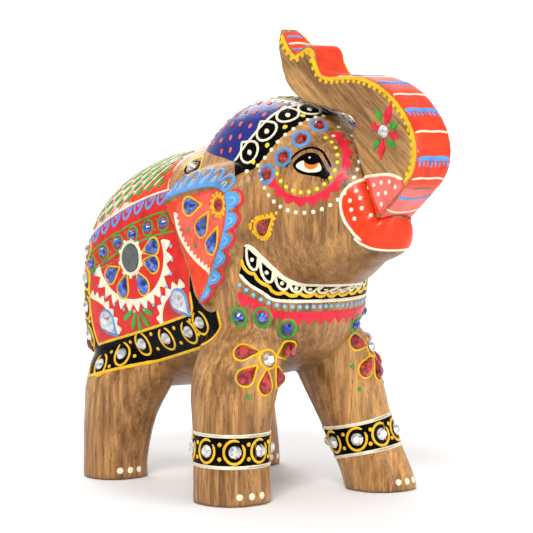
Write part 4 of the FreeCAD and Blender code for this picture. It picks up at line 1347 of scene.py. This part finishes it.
# ------------------------------------------------------------------ rump
def rump():
    for chart, reach in stone_charts("rump_rubies"):
        pear_outline("rump_paint", "lemon", chart, PEAR, 1.2, 1.1, 0.48, point=1.0)
    behind = square_chart(1, 140.0, 20.0, body_skin)
    for side in (-1, 1):
        leaf("rump_paint", "coral", behind, side * 13.5, 56.0, side * 2.4, 5.0, 2.1)
        leaf("rump_paint", "coral", behind, side * 19.0, 62.0, side * 3.6, 3.6, 1.9)
        for x, z in ((8.5, 88.0), (14.5, 72.0), (15.0, 84.0)):
            dot("rump_paint", "green", behind, side * x, z, 1.0, 0.5)


# ------------------------------------------------------------------ put everything on
for flank_side in (-1, 1):
    blanket(flank_side)
    blanket_back(flank_side)
    ear(flank_side)
    eye(flank_side)
    head_cloth(flank_side)
    mouth(flank_side)
    trunk_side(flank_side)
    putty(flank_side)
    foreleg(flank_side)
spine_stripe()
crown_middle()
lip()
trunk_front()
garland()
toes()
rump()
finish_paint()

STONE_LOOKS = {
    # each stone's colours run from dark to a painted glint; the spread between them stands in for reflections
    # off the facets
    "blue": gem("blue_stone", (0.001, 0.002, 0.04), (0.008, 0.026, 0.40), (0.20, 0.42, 1.0)),
    "ruby": gem("ruby_stone", (0.05, 0.002, 0.006), (0.30, 0.006, 0.014), (0.85, 0.06, 0.06)),
    "clear": gem("clear_stone", (0.20, 0.20, 0.21), (0.74, 0.75, 0.76), (1.0, 1.0, 1.0), 0.45),
}
mirror_glass = silvered("mirror_glass")
BLUE = ("ear_pears", "blanket_rounds", "blanket_petals", "chest_rounds")
RED = ("ear_round", "brow_rubies", "cheek_ruby", "rump_rubies", "foreleg_rubies")
for node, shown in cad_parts.items():
    if node.startswith("carved"):
        continue
    if node.startswith("mirror"):
        look = mirror_glass
    elif node == "trunk_dowel":
        look = dowel_wood
    else:
        look = STONE_LOOKS["blue" if node.startswith(BLUE) else "ruby" if node.startswith(RED) else "clear"]
    shown.data.materials.clear()
    shown.data.materials.append(look)
    shown.data.polygons.foreach_set("use_smooth", [False] * len(shown.data.polygons))

# ------------------------------------------------------------------ floor, light, camera
FLOOR_DROP = 0.0002          # keeps the sheet clear of the soles
CAMERA_TARGET = Vector((-0.018, -0.0185, 0.097))
CAMERA_AZIMUTH = 40.0        # degrees from straight ahead toward the figure's right
CAMERA_RISE = 3.4
CAMERA_DISTANCE = 0.9
CAMERA_LENS = 145.8
CAMERA_SENSOR = 36.0


def floor():
    """A pale sheet that curves up far behind the figure."""
    corners = []
    faces = []
    across = 24
    bend = 0.9
    profile = [(-2.2, 0.0), (1.2, 0.0)]
    profile += [(1.2 + bend * math.sin(t), bend - bend * math.cos(t)) for t in half_turn(20)[1:11]]
    profile.append((2.1, 3.0))
    for x in range(across + 1):
        for depth, rise in profile:
            corners.append((-3.0 + 6.0 * x / across, depth, rise - FLOOR_DROP))
    step = len(profile)
    for x in range(across):
        for k in range(step - 1):
            a = x * step + k
            faces.append((a, a + step, a + step + 1, a + 1))
    mesh = bpy.data.meshes.new("floor")
    mesh.from_pydata(corners, [], faces)
    mesh.polygons.foreach_set("use_smooth", [True] * len(mesh.polygons))
    sheet = bpy.data.objects.new("floor", mesh)
    scene.collection.objects.link(sheet)
    material, tree, shader = new_material("pale_floor")
    place = stretched(tree, (0.0, 0.0, 0.0), (1.0, 1.0, 1.0))
    tone = ramp(tree, noise_of(tree, place, 3.0), ((0.3, (0.93, 0.93, 0.93)), (0.7, (0.95, 0.95, 0.95))))
    tree.links.new(tone, shader.inputs["Base Color"])
    shader.inputs["Roughness"].default_value = 0.9
    sheet.data.materials.append(material)
    sheet.rotation_euler = (0.0, 0.0, math.radians(-CAMERA_AZIMUTH))


def lamp(name, place, target, size, power):
    data = bpy.data.lights.new(name, "AREA")
    data.shape = "DISK"
    data.size = size
    data.energy = power
    source = bpy.data.objects.new(name, data)
    scene.collection.objects.link(source)
    source.location = place
    source.rotation_euler = (Vector(target) - Vector(place)).to_track_quat("-Z", "Y").to_euler()


floor()
world = bpy.data.worlds.new("studio")
world.use_nodes = True
world.node_tree.nodes["Background"].inputs["Color"].default_value = (1.0, 1.0, 1.0, 1.0)
world.node_tree.nodes["Background"].inputs["Strength"].default_value = 0.62
scene.world = world
lamp("key", (-1.0, -0.9, 1.3), (0.0, 0.0, 0.09), 0.6, 19.0)
lamp("fill", (0.6, -1.4, 0.5), (0.0, 0.0, 0.09), 0.9, 5.0)
lamp("rim", (0.4, 1.2, 1.2), (0.0, 0.0, 0.09), 0.8, 8.0)
lamp("backdrop", (0.62, 0.74, 1.5), (1.33, 1.58, 0.55), 0.9, 9.0)

turn = math.radians(CAMERA_AZIMUTH)
rise = math.radians(CAMERA_RISE)
back = Vector((-math.sin(turn) * math.cos(rise), -math.cos(turn) * math.cos(rise), math.sin(rise)))
camera_data = bpy.data.cameras.new("camera")
camera_data.sensor_width = CAMERA_SENSOR
camera_data.lens = CAMERA_LENS
camera_data.clip_end = 20.0
camera = bpy.data.objects.new("camera", camera_data)
scene.collection.objects.link(camera)
camera.location = CAMERA_TARGET + back * CAMERA_DISTANCE
camera.rotation_euler = (-back).to_track_quat("-Z", "Y").to_euler()
scene.camera = camera
scene.view_settings.view_transform = "Standard"

bpy.context.view_layer.update()
